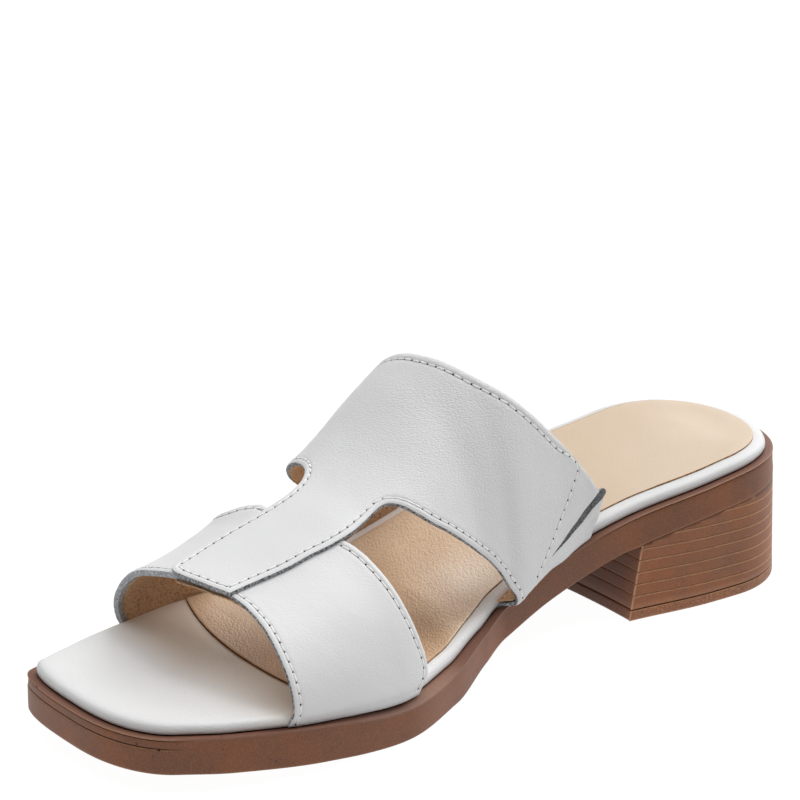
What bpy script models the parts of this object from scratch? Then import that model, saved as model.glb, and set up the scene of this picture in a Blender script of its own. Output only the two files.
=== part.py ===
"""Slide sandal with a block heel, for the right foot.

Toe towards -Y, heel towards +Y, inner (medial) side towards +X, +Z up, metres.

A shoe is drawn on its last: every section is named by its distance from the back of
the heel, here called the station. All sizes below are in millimetres at that station,
and the frame functions turn them into metres.
"""
import bpy
import bmesh
import math
import numpy as np

# ---- driving sizes (mm) ----------------------------------------------------------
HEEL_END = -1.4         # station of the outsole's back edge
TOE_END = 258.7         # station of its front edge
CENTRE_X = 4.3          # middle of the widest outline, measured from the heel's axis
GAP = 0.3               # clearance between pieces that touch

# One row per section of the last. medial and lateral: distance of the sole's two
# sides from the heel's axis; ledge: height of the sole's top edge; under: height of
# its underside. The ends are rounded by END_ROUNDING.
LAST = [
    # station  medial  lateral  ledge  under
    (0.0, 36.5, -35.0, 41.9, 33.8),
    (20.0, 35.6, -33.2, 41.3, 32.2),
    (44.0, 34.3, -34.5, 38.2, 29.0),
    (74.0, 29.5, -37.4, 32.7, 22.8),
    (103.0, 27.0, -39.9, 23.9, 13.3),
    (121.0, 28.3, -42.8, 16.9, 6.8),
    (133.0, 32.9, -44.3, 13.1, 3.3),
    (152.0, 42.6, -44.6, 10.4, 0.0),
    (178.0, 52.3, -43.2, 10.6, 0.0),
    (192.0, 53.2, -40.8, 11.8, 0.9),
    (206.0, 52.6, -36.8, 13.1, 2.3),
    (232.0, 46.7, -27.6, 15.1, 4.6),
    (246.0, 40.2, -22.0, 16.0, 5.7),
    (258.7, 33.4, -17.2, 16.7, 6.4),
]

# Superellipse corners at the two ends: length of the rounding on each side, its
# power, and the line that both sides close on.
END_ROUNDING = {
    "heel": {"medial": 34.0, "lateral": 34.0, "power": 2.05, "axis": 0.0},
    "toe": {"medial": 13.9, "lateral": 6.3, "power": 2.66, "axis": 8.0},
}

# Softened edges of the sole, from the underside up: distance inside the outline, the
# surface that the height is measured from, and the height over it.
SOLE_EDGE = [
    # inset  surface  height
    (0.6, "under", 0.0),
    (0.1, "under", 0.5),
    (0.0, "under", 1.6),
    (0.0, "ledge", -0.8),
    (0.4, "ledge", 0.0),
]

# ---- heel ------------------------------------------------------------------------
LIFT_HEIGHT = 3.5       # top piece, the wearing layer on the floor
BREAST_STATION = 72.8   # front face of the heel at the floor
BREAST_LEAN = 0.16      # the front face leans back this much per mm of height
BREAST_HOLLOW = 2.0     # how far that face is hollowed in its middle
HEEL_OVERHANG = 0.4     # the heel stands this far outside the sole's edge
FLARE_SIDE = 0.4        # it widens by this much on each side down to the floor
FLARE_BACK = 1.6        # and lengthens backwards by this much

MIDDLE_STATION = (TOE_END + HEEL_END - HEEL_OVERHANG - FLARE_BACK) / 2

# ---- footbed and sock ------------------------------------------------------------
# Rounded edge of the wrapped footbed, from the ledge up: distance inside the sole's
# edge, and height over the ledge.
FOOTBED_EDGE = [
    # inset  height
    (3.4, GAP),
    (3.4, 1.3),
    (3.8, 2.1),
    (4.8, 2.6),
    (6.6, 2.8),
]
SOCK_THICKNESS = 0.5
SOCK_INSET = 6.9
SOCK_FRONT = 204.3      # foremost point of the sock's curved front edge
SOCK_FRONT_X = 20.0     # that point's distance from the heel's axis
SOCK_FRONT_BOW = 0.0048  # the edge falls back by this times the distance squared

# ---- upper -----------------------------------------------------------------------
WALL = 1.5              # leather and lining together
ROUNDNESS_MEDIAL = 2.05  # superellipse powers of the arch over the foot
ROUNDNESS_LATERAL = 2.4
CREST_OFFSET = -0.065   # crest of the arch, as a share of the half width
FOOT_LIFT = 0.6         # the arch ends this far over the ledge
LATERAL_INSET = 1.4     # its lateral foot stands this far inside the sole's edge

# Height of the arch's crest over the ledge.
ARCH = [
    # station  height
    (76.0, 69.0),
    (85.0, 71.0),
    (110.0, 71.9),
    (135.0, 64.8),
    (160.0, 50.2),
    (185.0, 39.4),
    (210.0, 30.1),
    (226.0, 26.5),
]

# Distance of the upper's medial foot inside the sole's edge; the instep strap bulges
# out over the narrow waist, where it is negative.
MEDIAL_FOOT = [
    # station  inset
    (76.0, 1.6),
    (85.0, 1.4),
    (97.0, -0.2),
    (108.0, -2.2),
    (117.0, -3.2),
    (124.0, -2.0),
    (135.0, 0.8),
    (150.0, 1.4),
    (226.0, 1.4),
]

# Stations of the four cut edges round the arch. angle: 0 at the medial foot, 90 at
# the crest, 180 at the lateral foot. toe_edge and wing_edge bound the front straps,
# window_edge and collar bound the instep strap. Between the panel's angles the
# centre panel joins the two.
CUT_EDGES = [
    # angle  toe_edge  wing_edge  window_edge  collar
    (0.0, 216.3, 171.0, 119.0, 88.6),
    (6.0, 215.2, 167.6, 122.2, 83.6),
    (14.0, 214.5, 167.8, 128.6, 86.6),
    (24.0, 214.0, 169.9, 136.4, 94.4),
    (36.0, 213.4, 172.8, 144.6, 103.6),
    (50.0, 212.8, 175.4, 152.0, 112.6),
    (63.0, 212.9, 178.0, 158.4, 119.2),
    (75.0, 214.6, 180.0, 160.5, 122.9),
    (90.0, 217.0, 181.4, 161.6, 125.3),
    (104.0, 218.0, 182.2, 161.4, 125.9),
    (118.0, 218.7, 183.3, 158.6, 125.2),
    (132.0, 218.7, 182.6, 155.4, 121.8),
    (146.0, 218.4, 179.6, 150.0, 114.6),
    (158.0, 218.0, 176.6, 142.6, 105.4),
    (168.0, 217.6, 175.2, 134.4, 95.6),
    (175.0, 216.6, 176.4, 128.6, 89.6),
    (180.0, 214.6, 179.0, 125.6, 89.0),
]
PANEL_AT_WING = (67.0, 101.0)      # angles of the panel's two sides, where it leaves
PANEL_AT_STRAP = (63.0, 108.0)     # the front straps, and where it meets the instep

# ---- how finely curved pieces are drawn ------------------------------------------
END_STEPS = 9
SIDE_STEPS = 26
ARCH_STEPS = 36
WING_STEPS = 7
PANEL_STEPS = 4
STRAP_STEPS = 8
TUCK_STEPS = 4
BREAST_STEPS = 6
SOCK_SIDE_STEPS = 36
SOCK_FRONT_STEPS = 10

MM = 0.001


# ---- tables as smooth curves -----------------------------------------------------
def column(table, index):
    """Two arrays: the first column of a table and another of its columns."""
    rows = np.array(table, dtype=float)
    return rows[:, 0], rows[:, index]


def smooth(table, index, at):
    """Cubic Hermite curve through a table's column that never overshoots its rows.

    The slope at a row is the harmonic mean of the slopes beside it, or zero where they
    differ in sign.
    """
    x, y = column(table, index)
    step = np.diff(x)
    rise = np.diff(y) / step
    product = rise[:-1] * rise[1:]
    total = np.where(product > 0, rise[:-1] + rise[1:], 1.0)
    slope = np.concatenate([rise[:1], np.where(product > 0, 2 * product / total, 0.0), rise[-1:]])
    at = np.clip(np.asarray(at, dtype=float), x[0], x[-1])
    i = np.clip(np.searchsorted(x, at) - 1, 0, len(x) - 2)
    s = (at - x[i]) / step[i]
    start = (1 + 2 * s) * (1 - s) ** 2 * y[i] + s * (1 - s) ** 2 * step[i] * slope[i]
    end = s * s * (3 - 2 * s) * y[i + 1] + s * s * (s - 1) * step[i] * slope[i + 1]
    return start + end


def ledge(station):
    return smooth(LAST, 3, station)


def under(station):
    return smooth(LAST, 4, station)


# ---- outline of the sole ---------------------------------------------------------
def closing(station, side):
    """Share of the full width left at each station by the rounded ends."""
    share = np.ones_like(station)
    heel = END_ROUNDING["heel"]
    toe = END_ROUNDING["toe"]
    into_heel = np.clip(1 - (station - HEEL_END) / heel[side], 0, 1)
    into_toe = np.clip(1 - (TOE_END - station) / toe[side], 0, 1)
    share *= (1 - into_heel ** heel["power"]) ** (1 / heel["power"])
    share *= (1 - into_toe ** toe["power"]) ** (1 / toe["power"])
    return share


def side_x(station, side):
    """Distance of one side of the sole from the heel's axis."""
    station = np.asarray(station, dtype=float)
    full = smooth(LAST, 1 if side == "medial" else 2, station)
    blend = np.clip((station - 40) / 160, 0, 1)
    axis = (1 - blend) * END_ROUNDING["heel"]["axis"] + blend * END_ROUNDING["toe"]["axis"]
    return axis + (full - axis) * closing(station, side)


def outline_stations(last=TOE_END):
    """Stations from the heel's back to the given one, close together at round ends."""
    turn = np.linspace(0, math.pi / 2, END_STEPS)
    heel = END_ROUNDING["heel"]["medial"]
    toe = END_ROUNDING["toe"]["medial"]
    middle = np.linspace(HEEL_END + heel, TOE_END - toe, SIDE_STEPS)
    heel_part = HEEL_END + heel * (1 - np.cos(turn))
    toe_part = TOE_END - toe + toe * np.sin(turn)
    stations = np.concatenate([heel_part, middle[1:-1], toe_part])
    if last == TOE_END:
        return stations
    return np.append(stations[stations < last - 3], last)


def inset_ring(x, station, inset):
    """Closed ring moved inwards, square to itself."""
    along_x = np.roll(x, -1) - np.roll(x, 1)
    along_s = np.roll(station, -1) - np.roll(station, 1)
    size = np.hypot(along_x, along_s)
    return x - inset * along_s / size, station + inset * along_x / size


def sole_ring(inset):
    """Ring round the sole, up the medial side and back along the lateral one."""
    stations = outline_stations()
    x = np.concatenate([side_x(stations, "medial"), side_x(stations, "lateral")[-2:0:-1]])
    station = np.concatenate([stations, stations[-2:0:-1]])
    return inset_ring(x, station, inset)


# ---- from the last to the world --------------------------------------------------
def world(x, station, height):
    """Rows of world points in metres, from millimetres on the last."""
    x, station, height = np.broadcast_arrays(x, station, height)
    return np.column_stack([x - CENTRE_X, MIDDLE_STATION - station, height]) * MM


def material(name, colour, roughness):
    """Principled material with one colour."""
    finish = bpy.data.materials.new(name)
    finish.use_nodes = True
    shader = finish.node_tree.nodes["Principled BSDF"]
    shader.inputs["Base Color"].default_value = (*colour, 1.0)
    shader.inputs["Roughness"].default_value = roughness
    shader.inputs["Metallic"].default_value = 0.0
    return finish


def add_mesh(name, points, faces, finish, collection):
    """Object from points and faces, smooth shaded, its faces turned outwards."""
    mesh = bpy.data.meshes.new(name)
    mesh.from_pydata([tuple(point) for point in points], [], faces)
    work = bmesh.new()
    work.from_mesh(mesh)
    bmesh.ops.remove_doubles(work, verts=work.verts, dist=0.01 * MM)
    bmesh.ops.recalc_face_normals(work, faces=work.faces)
    work.to_mesh(mesh)
    work.free()
    mesh.shade_smooth()
    mesh.materials.append(finish)
    part = bpy.data.objects.new(name, mesh)
    collection.objects.link(part)
    return part


def loft(rings):
    """Points and side faces of a stack of closed rings with equally many points."""
    count = len(rings[0])
    faces = []
    for level in range(len(rings) - 1):
        low = level * count
        high = low + count
        for i in range(count):
            j = (i + 1) % count
            faces.append((low + i, low + j, high + j, high + i))
    return np.vstack(rings), faces


def ladder_cap(count, first, rungs):
    """Faces that close a ring between its two sides, like the rungs of a ladder.

    What lies beyond the last rung is one face.
    """
    faces = [(first, first + 1, first + count - 1)]
    for i in range(1, rungs - 1):
        faces.append((first + i, first + i + 1, first + count - i - 1, first + count - i))
    faces.append(tuple(range(first + rungs - 1, first + count - rungs + 2)))
    return faces


def capped_loft(rings, rungs):
    """Closed stack of rings, whose two sides have the given number of points each."""
    points, faces = loft(rings)
    count = len(rings[0])
    faces += ladder_cap(count, 0, rungs)
    faces += ladder_cap(count, len(points) - count, rungs)
    return points, faces


# ---- outsole ---------------------------------------------------------------------
def make_outsole(collection):
    """Sole plate: follows the last's arch and toe spring, with softened edges."""
    rings = []
    for inset, height, offset in SOLE_EDGE:
        x, station = sole_ring(inset)
        level = ledge(station) if height == "ledge" else under(station)
        rings.append(world(x, station, level + offset))
    finish = material("sole_brown", (0.20, 0.095, 0.055), 0.5)
    return add_mesh("outsole", *capped_loft(rings, len(rings[0]) // 2), finish, collection)


# ---- heel ------------------------------------------------------------------------
def heel_ring(height):
    """D-shaped ring of the heel at one height: round back, hollowed front face."""
    breast = BREAST_STATION - BREAST_LEAN * height
    stations = outline_stations(BREAST_STATION)
    stations[-1] = breast
    medial = side_x(stations, "medial") + HEEL_OVERHANG
    lateral = side_x(stations, "lateral") - HEEL_OVERHANG
    across = np.linspace(0, 1, BREAST_STEPS + 1)[1:-1]
    front_x = medial[-1] + (lateral[-1] - medial[-1]) * across
    front = breast - BREAST_HOLLOW * 4 * across * (1 - across)
    x = np.concatenate([[0.0], medial[1:], front_x, lateral[:0:-1]])
    back = HEEL_END - HEEL_OVERHANG
    station = np.concatenate([[back], stations[1:], front, stations[:0:-1]])
    return x, station


def flare(x, station, height):
    """Widens a heel ring towards the floor, at its sides and most at its back."""
    share = 1 - height / under(0.0)
    into_back = (BREAST_STATION - station) / (BREAST_STATION - HEEL_END)
    return x + FLARE_SIDE * share * np.sign(x), station - FLARE_BACK * share * into_back


def heel_solid(name, levels, finish, collection):
    """Closed stack of heel rings; each level is a height, or a function of station."""
    rings = []
    for level, top in levels:
        x, station = heel_ring(level)
        height = top(station)
        x, station = flare(x, station, height)
        rings.append(world(x, station, height))
    rungs = (len(rings[0]) - BREAST_STEPS + 2) // 2
    return add_mesh(name, *capped_loft(rings, rungs), finish, collection)


def make_heel(collection):
    """Block heel and the wearing layer under it."""
    brown = material("heel_brown", (0.23, 0.115, 0.065), 0.5)
    lift = [(0.0, lambda s: 0.0 * s), (LIFT_HEIGHT, lambda s: 0.0 * s + LIFT_HEIGHT)]
    heel_solid("heel_lift", lift, brown, collection)
    seat = under(BREAST_STATION)
    block = [
        (LIFT_HEIGHT + GAP, lambda s: 0.0 * s + LIFT_HEIGHT + GAP),
        (0.5 * seat, lambda s: 0.0 * s + 0.5 * seat),
        (seat, lambda s: under(s) - GAP),
    ]
    heel_solid("heel_block", block, brown, collection)


# ---- footbed and sock ------------------------------------------------------------
def make_footbed(collection):
    """Insole board wrapped in white leather, rounded along its top edge."""
    rings = []
    for inset, height in FOOTBED_EDGE:
        x, station = sole_ring(inset)
        rings.append(world(x, station, ledge(station) + height))
    finish = material("footbed_white", (0.80, 0.79, 0.76), 0.45)
    return add_mesh("footbed", *capped_loft(rings, len(rings[0]) // 2), finish, collection)


def sock_front(x):
    """Station of the sock's front edge, at a distance from the heel's axis."""
    return SOCK_FRONT - SOCK_FRONT_BOW * (x - SOCK_FRONT_X) ** 2


def sock_side(x, station):
    """One side of the sock's outline, evenly spaced from the heel to its front edge."""
    beyond = station - sock_front(x)
    kept = beyond < 0
    x = np.append(x[kept], np.interp(0.0, beyond, x))
    station = np.append(station[kept], sock_front(x[-1]))
    length = np.append(0.0, np.cumsum(np.hypot(np.diff(x), np.diff(station))))
    even = np.linspace(0, length[-1], SOCK_SIDE_STEPS + 1)
    return np.interp(even, length, x), np.interp(even, length, station)


def make_sock(collection):
    """Thin sock on the footbed, from the heel to a curved edge behind the toes."""
    ring_x, ring_station = sole_ring(SOCK_INSET)
    toe = len(ring_x) // 2
    medial_x, medial_station = sock_side(ring_x[:toe], ring_station[:toe])
    back_x = np.append(ring_x[0], ring_x[:toe:-1])
    back_station = np.append(ring_station[0], ring_station[:toe:-1])
    lateral_x, lateral_station = sock_side(back_x, back_station)
    front_x = np.linspace(medial_x[-1], lateral_x[-1], SOCK_FRONT_STEPS + 1)[1:-1]
    x = np.concatenate([medial_x, front_x, lateral_x[:0:-1]])
    station = np.concatenate([medial_station, sock_front(front_x), lateral_station[:0:-1]])
    bed = ledge(station) + FOOTBED_EDGE[-1][1] + GAP
    rings = [world(x, station, bed), world(x, station, bed + SOCK_THICKNESS)]
    finish = material("sock_tan", (0.72, 0.56, 0.38), 0.6)
    return add_mesh("sock_lining", *capped_loft(rings, SOCK_SIDE_STEPS + 1), finish, collection)


# ---- upper -----------------------------------------------------------------------
def foot_x(station, side):
    """Foot of the arch on one side: the sole's edge moved inwards, square to it."""
    nudge = 0.5
    slope = (side_x(station + nudge, side) - side_x(station - nudge, side)) / (2 * nudge)
    inset = smooth(MEDIAL_FOOT, 1, station) if side == "medial" else LATERAL_INSET
    sign = -1 if side == "medial" else 1
    return side_x(station, side) + sign * inset * np.sqrt(1 + slope ** 2)


def arch_point(angle, station):
    """Outer face of the upper: a superellipse arch from foot to foot."""
    turn = np.radians(angle)
    medial = foot_x(station, "medial")
    lateral = foot_x(station, "lateral")
    crest = (medial + lateral) / 2 + CREST_OFFSET * (medial - lateral) / 2
    towards_medial = np.cos(turn) > 0
    power = np.where(towards_medial, ROUNDNESS_MEDIAL, ROUNDNESS_LATERAL)
    reach = np.where(towards_medial, medial - crest, crest - lateral)
    x = crest + reach * np.sign(np.cos(turn)) * np.abs(np.cos(turn)) ** (2 / power)
    rise = np.abs(np.sin(turn)) ** (2 / power)
    height = ledge(station) + FOOT_LIFT + (smooth(ARCH, 1, station) - FOOT_LIFT) * rise
    return world(x, station, height)


def tuck_point(depth, station):
    """Medial foot of the instep strap, turned under: 0 at the arch, 1 at the footbed."""
    outer = foot_x(station, "medial")
    inner = side_x(station, "medial") - FOOTBED_EDGE[0][0] + GAP
    x = outer + (inner - outer) * depth
    drop = (FOOT_LIFT - GAP) * np.minimum(1, depth * TUCK_STEPS)
    return world(x, station, ledge(station) + FOOT_LIFT - drop)


def grid(rows, first, columns):
    """Quads between rows of points laid out one after another."""
    faces = []
    for row in range(rows - 1):
        for i in range(columns - 1):
            a = first + row * columns + i
            faces.append((a, a + 1, a + columns + 1, a + columns))
    return faces


def band(angles_front, angles_back, front, back, steps):
    """Rows of arch points between two edges, given by station at each angle."""
    rows = []
    for share in np.linspace(0, 1, steps + 1):
        angle = angles_front + (angles_back - angles_front) * share
        rows.append(arch_point(angle, front + (back - front) * share))
    return rows


def edge_station(name, angle):
    columns = {"toe_edge": 1, "wing_edge": 2, "window_edge": 3, "collar": 4}
    return smooth(CUT_EDGES, columns[name], angle)


def make_upper(collection):
    """Front straps, centre panel and instep strap as one sheet, then its thickness."""
    angles = np.unique(np.concatenate([
        np.linspace(0, 180, ARCH_STEPS + 1), PANEL_AT_WING, PANEL_AT_STRAP]))
    at_wing = angles[(angles >= PANEL_AT_WING[0]) & (angles <= PANEL_AT_WING[1])]
    share = (at_wing - at_wing[0]) / (at_wing[-1] - at_wing[0])
    at_strap = PANEL_AT_STRAP[0] + share * (PANEL_AT_STRAP[1] - PANEL_AT_STRAP[0])
    strap = np.unique(np.concatenate([angles[angles < PANEL_AT_STRAP[0]], at_strap,
                                      angles[angles > PANEL_AT_STRAP[1]]]))

    sheets = [
        band(angles, angles, edge_station("toe_edge", angles),
             edge_station("wing_edge", angles), WING_STEPS),
        band(at_wing, at_strap, edge_station("wing_edge", at_wing),
             edge_station("window_edge", at_strap), PANEL_STEPS),
        band(strap, strap, edge_station("window_edge", strap),
             edge_station("collar", strap), STRAP_STEPS),
    ]
    along = np.linspace(0, 1, STRAP_STEPS + 1)
    foot = edge_station("window_edge", 0.0) * (1 - along) + edge_station("collar", 0.0) * along
    sheets.append([tuck_point(depth, foot) for depth in np.linspace(0, 1, TUCK_STEPS + 1)])

    points = []
    faces = []
    for rows in sheets:
        faces += grid(len(rows), sum(len(row) for row in points), len(rows[0]))
        points += rows
    finish = material("leather_white", (0.72, 0.72, 0.73), 0.45)
    upper = add_mesh("upper", np.vstack(points), faces, finish, collection)
    wall = upper.modifiers.new("wall", "SOLIDIFY")
    wall.thickness = WALL * MM
    wall.offset = -1.0
    wall.use_even_offset = True
    return upper


def main():
    for thing in list(bpy.data.objects):
        bpy.data.objects.remove(thing, do_unlink=True)
    collection = bpy.data.collections.new("slide_sandal")
    bpy.context.scene.collection.children.link(collection)
    make_outsole(collection)
    make_heel(collection)
    make_footbed(collection)
    make_sock(collection)
    make_upper(collection)


main()
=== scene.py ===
# %% [markdown]
# # A slide sandal with a block heel
# This lesson dresses the plain solids of a slide sandal: a brown moulded sole with a layered
# block heel, a footbed wrapped in white leather, a tan sock, and a white upper cut from three
# pieces of leather. The solids are loaded first and never move. Everything new is laid on them.

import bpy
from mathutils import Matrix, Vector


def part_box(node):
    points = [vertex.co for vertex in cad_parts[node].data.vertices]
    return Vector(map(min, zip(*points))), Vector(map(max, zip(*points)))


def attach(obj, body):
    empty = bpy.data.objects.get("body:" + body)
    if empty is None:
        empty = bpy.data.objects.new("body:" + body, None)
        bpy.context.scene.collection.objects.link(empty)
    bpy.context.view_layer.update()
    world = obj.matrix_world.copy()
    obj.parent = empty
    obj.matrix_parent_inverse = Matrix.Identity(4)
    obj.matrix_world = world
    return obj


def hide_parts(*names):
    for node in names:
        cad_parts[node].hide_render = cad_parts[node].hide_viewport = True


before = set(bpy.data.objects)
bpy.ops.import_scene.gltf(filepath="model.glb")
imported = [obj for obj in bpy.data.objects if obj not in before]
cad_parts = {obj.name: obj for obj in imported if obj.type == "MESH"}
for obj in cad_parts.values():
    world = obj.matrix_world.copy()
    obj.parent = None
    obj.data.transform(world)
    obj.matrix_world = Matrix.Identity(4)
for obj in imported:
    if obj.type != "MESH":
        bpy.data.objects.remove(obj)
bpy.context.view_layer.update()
print("solids:", sorted(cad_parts))

# %% Libraries and units
import math

import bmesh
import bpy
import numpy as np
from mathutils import Matrix, Vector
from mathutils.geometry import delaunay_2d_cdt

MM = 0.001
rng = np.random.default_rng(7)

# %% [markdown]
# ## The last
# A shoemaker measures everything along the last, the wooden foot that a shoe is built on. Each
# section is named by its station, the distance in millimetres from the back of the heel. A short
# table with one row for each section is easier to read and to change than a sculpted shape, and
# a smooth curve through its rows gives the sizes between them.

# %% Sections of the last
HEEL_END, TOE_END = -1.4, 258.7
LAST = [
    # station  medial  lateral  ledge  under
    (0.0, 36.5, -35.0, 41.9, 33.8),
    (20.0, 35.6, -33.2, 41.3, 32.2),
    (44.0, 34.3, -34.5, 38.2, 29.0),
    (74.0, 29.5, -37.4, 32.7, 22.8),
    (103.0, 27.0, -39.9, 23.9, 13.3),
    (121.0, 28.3, -42.8, 16.9, 6.8),
    (133.0, 32.9, -44.3, 13.1, 3.3),
    (152.0, 42.6, -44.6, 10.4, 0.0),
    (178.0, 52.3, -43.2, 10.6, 0.0),
    (192.0, 53.2, -40.8, 11.8, 0.9),
    (206.0, 52.6, -36.8, 13.1, 2.3),
    (232.0, 46.7, -27.6, 15.1, 4.6),
    (246.0, 40.2, -22.0, 16.0, 5.7),
    (258.7, 33.4, -17.2, 16.7, 6.4),
]


def hermite(x, y, slope, at):
    """Cubic curve through the points (x, y), with the given slope at each of them."""
    i = np.clip(np.searchsorted(x, at) - 1, 0, len(x) - 2)
    step = x[i + 1] - x[i]
    s = (at - x[i]) / step
    start = (1 + 2 * s) * (1 - s) ** 2 * y[i] + s * (1 - s) ** 2 * step * slope[i]
    end = s * s * (3 - 2 * s) * y[i + 1] + s * s * (s - 1) * step * slope[i + 1]
    return start + end


def smooth(table, column, at):
    """A table's column as a curve that never overshoots its rows.

    The slope at a row is the harmonic mean of the slopes beside it, or zero where they
    differ in sign.
    """
    rows = np.array(table, dtype=float)
    x, y = rows[:, 0], rows[:, column]
    rise = np.diff(y) / np.diff(x)
    product = rise[:-1] * rise[1:]
    total = np.where(product > 0, rise[:-1] + rise[1:], 1.0)
    slope = np.concatenate([rise[:1], np.where(product > 0, 2 * product / total, 0.0), rise[-1:]])
    return hermite(x, y, slope, np.clip(np.asarray(at, dtype=float), x[0], x[-1]))


def ledge(station):
    """Height of the sole's top edge."""
    return smooth(LAST, 3, station)


def under(station):
    """Height of the sole's underside."""
    return smooth(LAST, 4, station)


def ramp(x, low, high):
    """0 below low, 1 above high, with a smooth S between."""
    t = np.clip((np.asarray(x, dtype=float) - low) / (high - low), 0, 1)
    return t * t * (3 - 2 * t)


def fall(x, low, high):
    """1 below low, 0 above high, with a smooth S between."""
    return ramp(-np.asarray(x, dtype=float), -high, -low)


def span(x, start, full, fading, end):
    """0 before start, 1 from full to fading, 0 after end: a ramp times a fall."""
    return ramp(x, start, full) * fall(x, fading, end)


# %% Set the last on the solids
outsole_low, outsole_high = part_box("outsole")
CENTRE_X = max(row[1] for row in LAST) - outsole_high.x / MM    # the widest section touches the box
MIDDLE = TOE_END + outsole_low.y / MM                           # the toe touches the box's front


def place(x, station, height):
    """Millimetres on the last to millimetres in the world: x to the side, -y to the toe."""
    x, station, height = np.broadcast_arrays(x, station, height)
    return np.stack([x - CENTRE_X, MIDDLE - station, height], axis=-1).astype(float)


print("heel axis at x", round(-CENTRE_X, 2), "mm, station 0 at y", round(MIDDLE, 2), "mm")

# %% [markdown]
# ## The outline of the sole
# Sole, footbed and sock share one outline. It runs up the inner side and back down the outer one.
# The two ends are closed by a superellipse, which is squarer than a circle. The ring is then
# resampled so that its points lie at even distances, and each point gets a direction that points
# inwards, so any profile can be carried round it.

# %% Ring round the sole
RING_COUNT = 720
HEEL_ROUND, TOE_SPAN = 34.0, 14.0
TOE_ROUND = {"medial": 13.9, "lateral": 6.3}
HEEL_POWER, TOE_POWER = 2.05, 2.66      # exponents of the superellipse at the two ends
TOE_AXIS = 8.0                          # the toe's axis lies this far to the inner side
OUTLINE_SMOOTHING = 24                  # rounds of averaging for the inward directions


def side_x(station, side):
    """Side of the sole: the last's width, times a superellipse share at both ends."""
    station = np.asarray(station, dtype=float)
    full = smooth(LAST, 1 if side == "medial" else 2, station)
    axis = TOE_AXIS * np.clip((station - 40) / 160, 0, 1)
    heel = np.clip(1 - (station - HEEL_END) / HEEL_ROUND, 0, 1)
    toe = np.clip(1 - (TOE_END - station) / TOE_ROUND[side], 0, 1)
    share = (1 - heel ** HEEL_POWER) ** (1 / HEEL_POWER) * (1 - toe ** TOE_POWER) ** (1 / TOE_POWER)
    return axis + (full - axis) * share


def both_sides(station):
    """Points of the sole's inner and outer side at the stations."""
    return [np.column_stack([side_x(station, side), station]) for side in ("medial", "lateral")]


def distances(points):
    """How far along the polyline each of its points lies: the sum of the steps before it."""
    return np.append(0.0, np.cumsum(np.linalg.norm(np.diff(points, axis=0), axis=1)))


def sample(points, length, at):
    """The polyline at the distances at, where length is how far along its own points lie."""
    return np.stack([np.interp(at, length, column) for column in points.T], axis=-1)


def even(points, count, closed=False):
    """The polyline's points again, at even distances along it."""
    points = np.asarray(points, dtype=float)
    if closed:
        points = np.vstack([points, points[:1]])
    length = distances(points)
    return sample(points, length, np.linspace(0, length[-1], count + closed)[:count])


def unit(vectors):
    """Each vector brought to length 1."""
    return vectors / np.linalg.norm(vectors, axis=-1, keepdims=True)


def nearest(points, others):
    """Distance from each point to the nearest of the others."""
    parts = np.array_split(points, max(1, len(points) // 1500))
    squares = [((part[:, None] - others[None]) ** 2).sum(axis=2).min(axis=1) for part in parts]
    return np.sqrt(np.concatenate(squares))


def turned_in(loop):
    """The run of a closed loop at each point, turned by 90 degrees to the inside."""
    along = np.roll(loop, -1, axis=0) - np.roll(loop, 1, axis=0)
    return np.column_stack([-along[:, 1], along[:, 0]])


turn = np.linspace(0, math.pi / 2, 90)
medial, lateral = both_sides(np.concatenate([
    HEEL_END + HEEL_ROUND * (1 - np.cos(turn)),
    np.linspace(HEEL_END + HEEL_ROUND, TOE_END - TOE_SPAN, 500)[1:-1],
    TOE_END - TOE_SPAN + TOE_SPAN * np.sin(turn)]))
OUTLINE = even(np.vstack([medial, lateral[-2:0:-1]]), RING_COUNT, closed=True)
STATION = OUTLINE[:, 1]
INNER = OUTLINE[:, 0] > TOE_AXIS

inwards = turned_in(OUTLINE)
for _ in range(OUTLINE_SMOOTHING):
    inwards = (np.roll(inwards, 1, axis=0) + 2 * inwards + np.roll(inwards, -1, axis=0)) / 4
INWARDS = unit(inwards)


def ring(inset):
    """x and station of the outline, moved inwards by one distance or one for each point."""
    return (OUTLINE + np.broadcast_to(inset, RING_COUNT)[:, None] * INWARDS).T


print("outline length", round(float(distances(OUTLINE)[-1])), "mm")

# %% [markdown]
# ## Meshes from arrays
# Every piece below ends in the same way: an array of points and an array of faces become one
# mesh at the origin, which rides on the sandal's body. Numbers that belong to a point, such as
# how deep it lies in a groove, are kept as attributes, so that its finish can follow them.

# %% Make a piece


def grid_faces(rows, columns, wrap=False):
    """Quads of a grid of points laid out row after row."""
    i = np.arange(rows - 1)[:, None] * columns
    j = np.arange(columns if wrap else columns - 1)[None, :]
    k = (j + 1) % columns
    return np.stack([i + j, i + k, i + columns + k, i + columns + j], axis=-1).reshape(-1, 4)


def add_object(name, data):
    """A new object in the scene, at the origin."""
    made = bpy.data.objects.new(name, data)
    bpy.context.scene.collection.objects.link(made)
    return made


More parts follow.
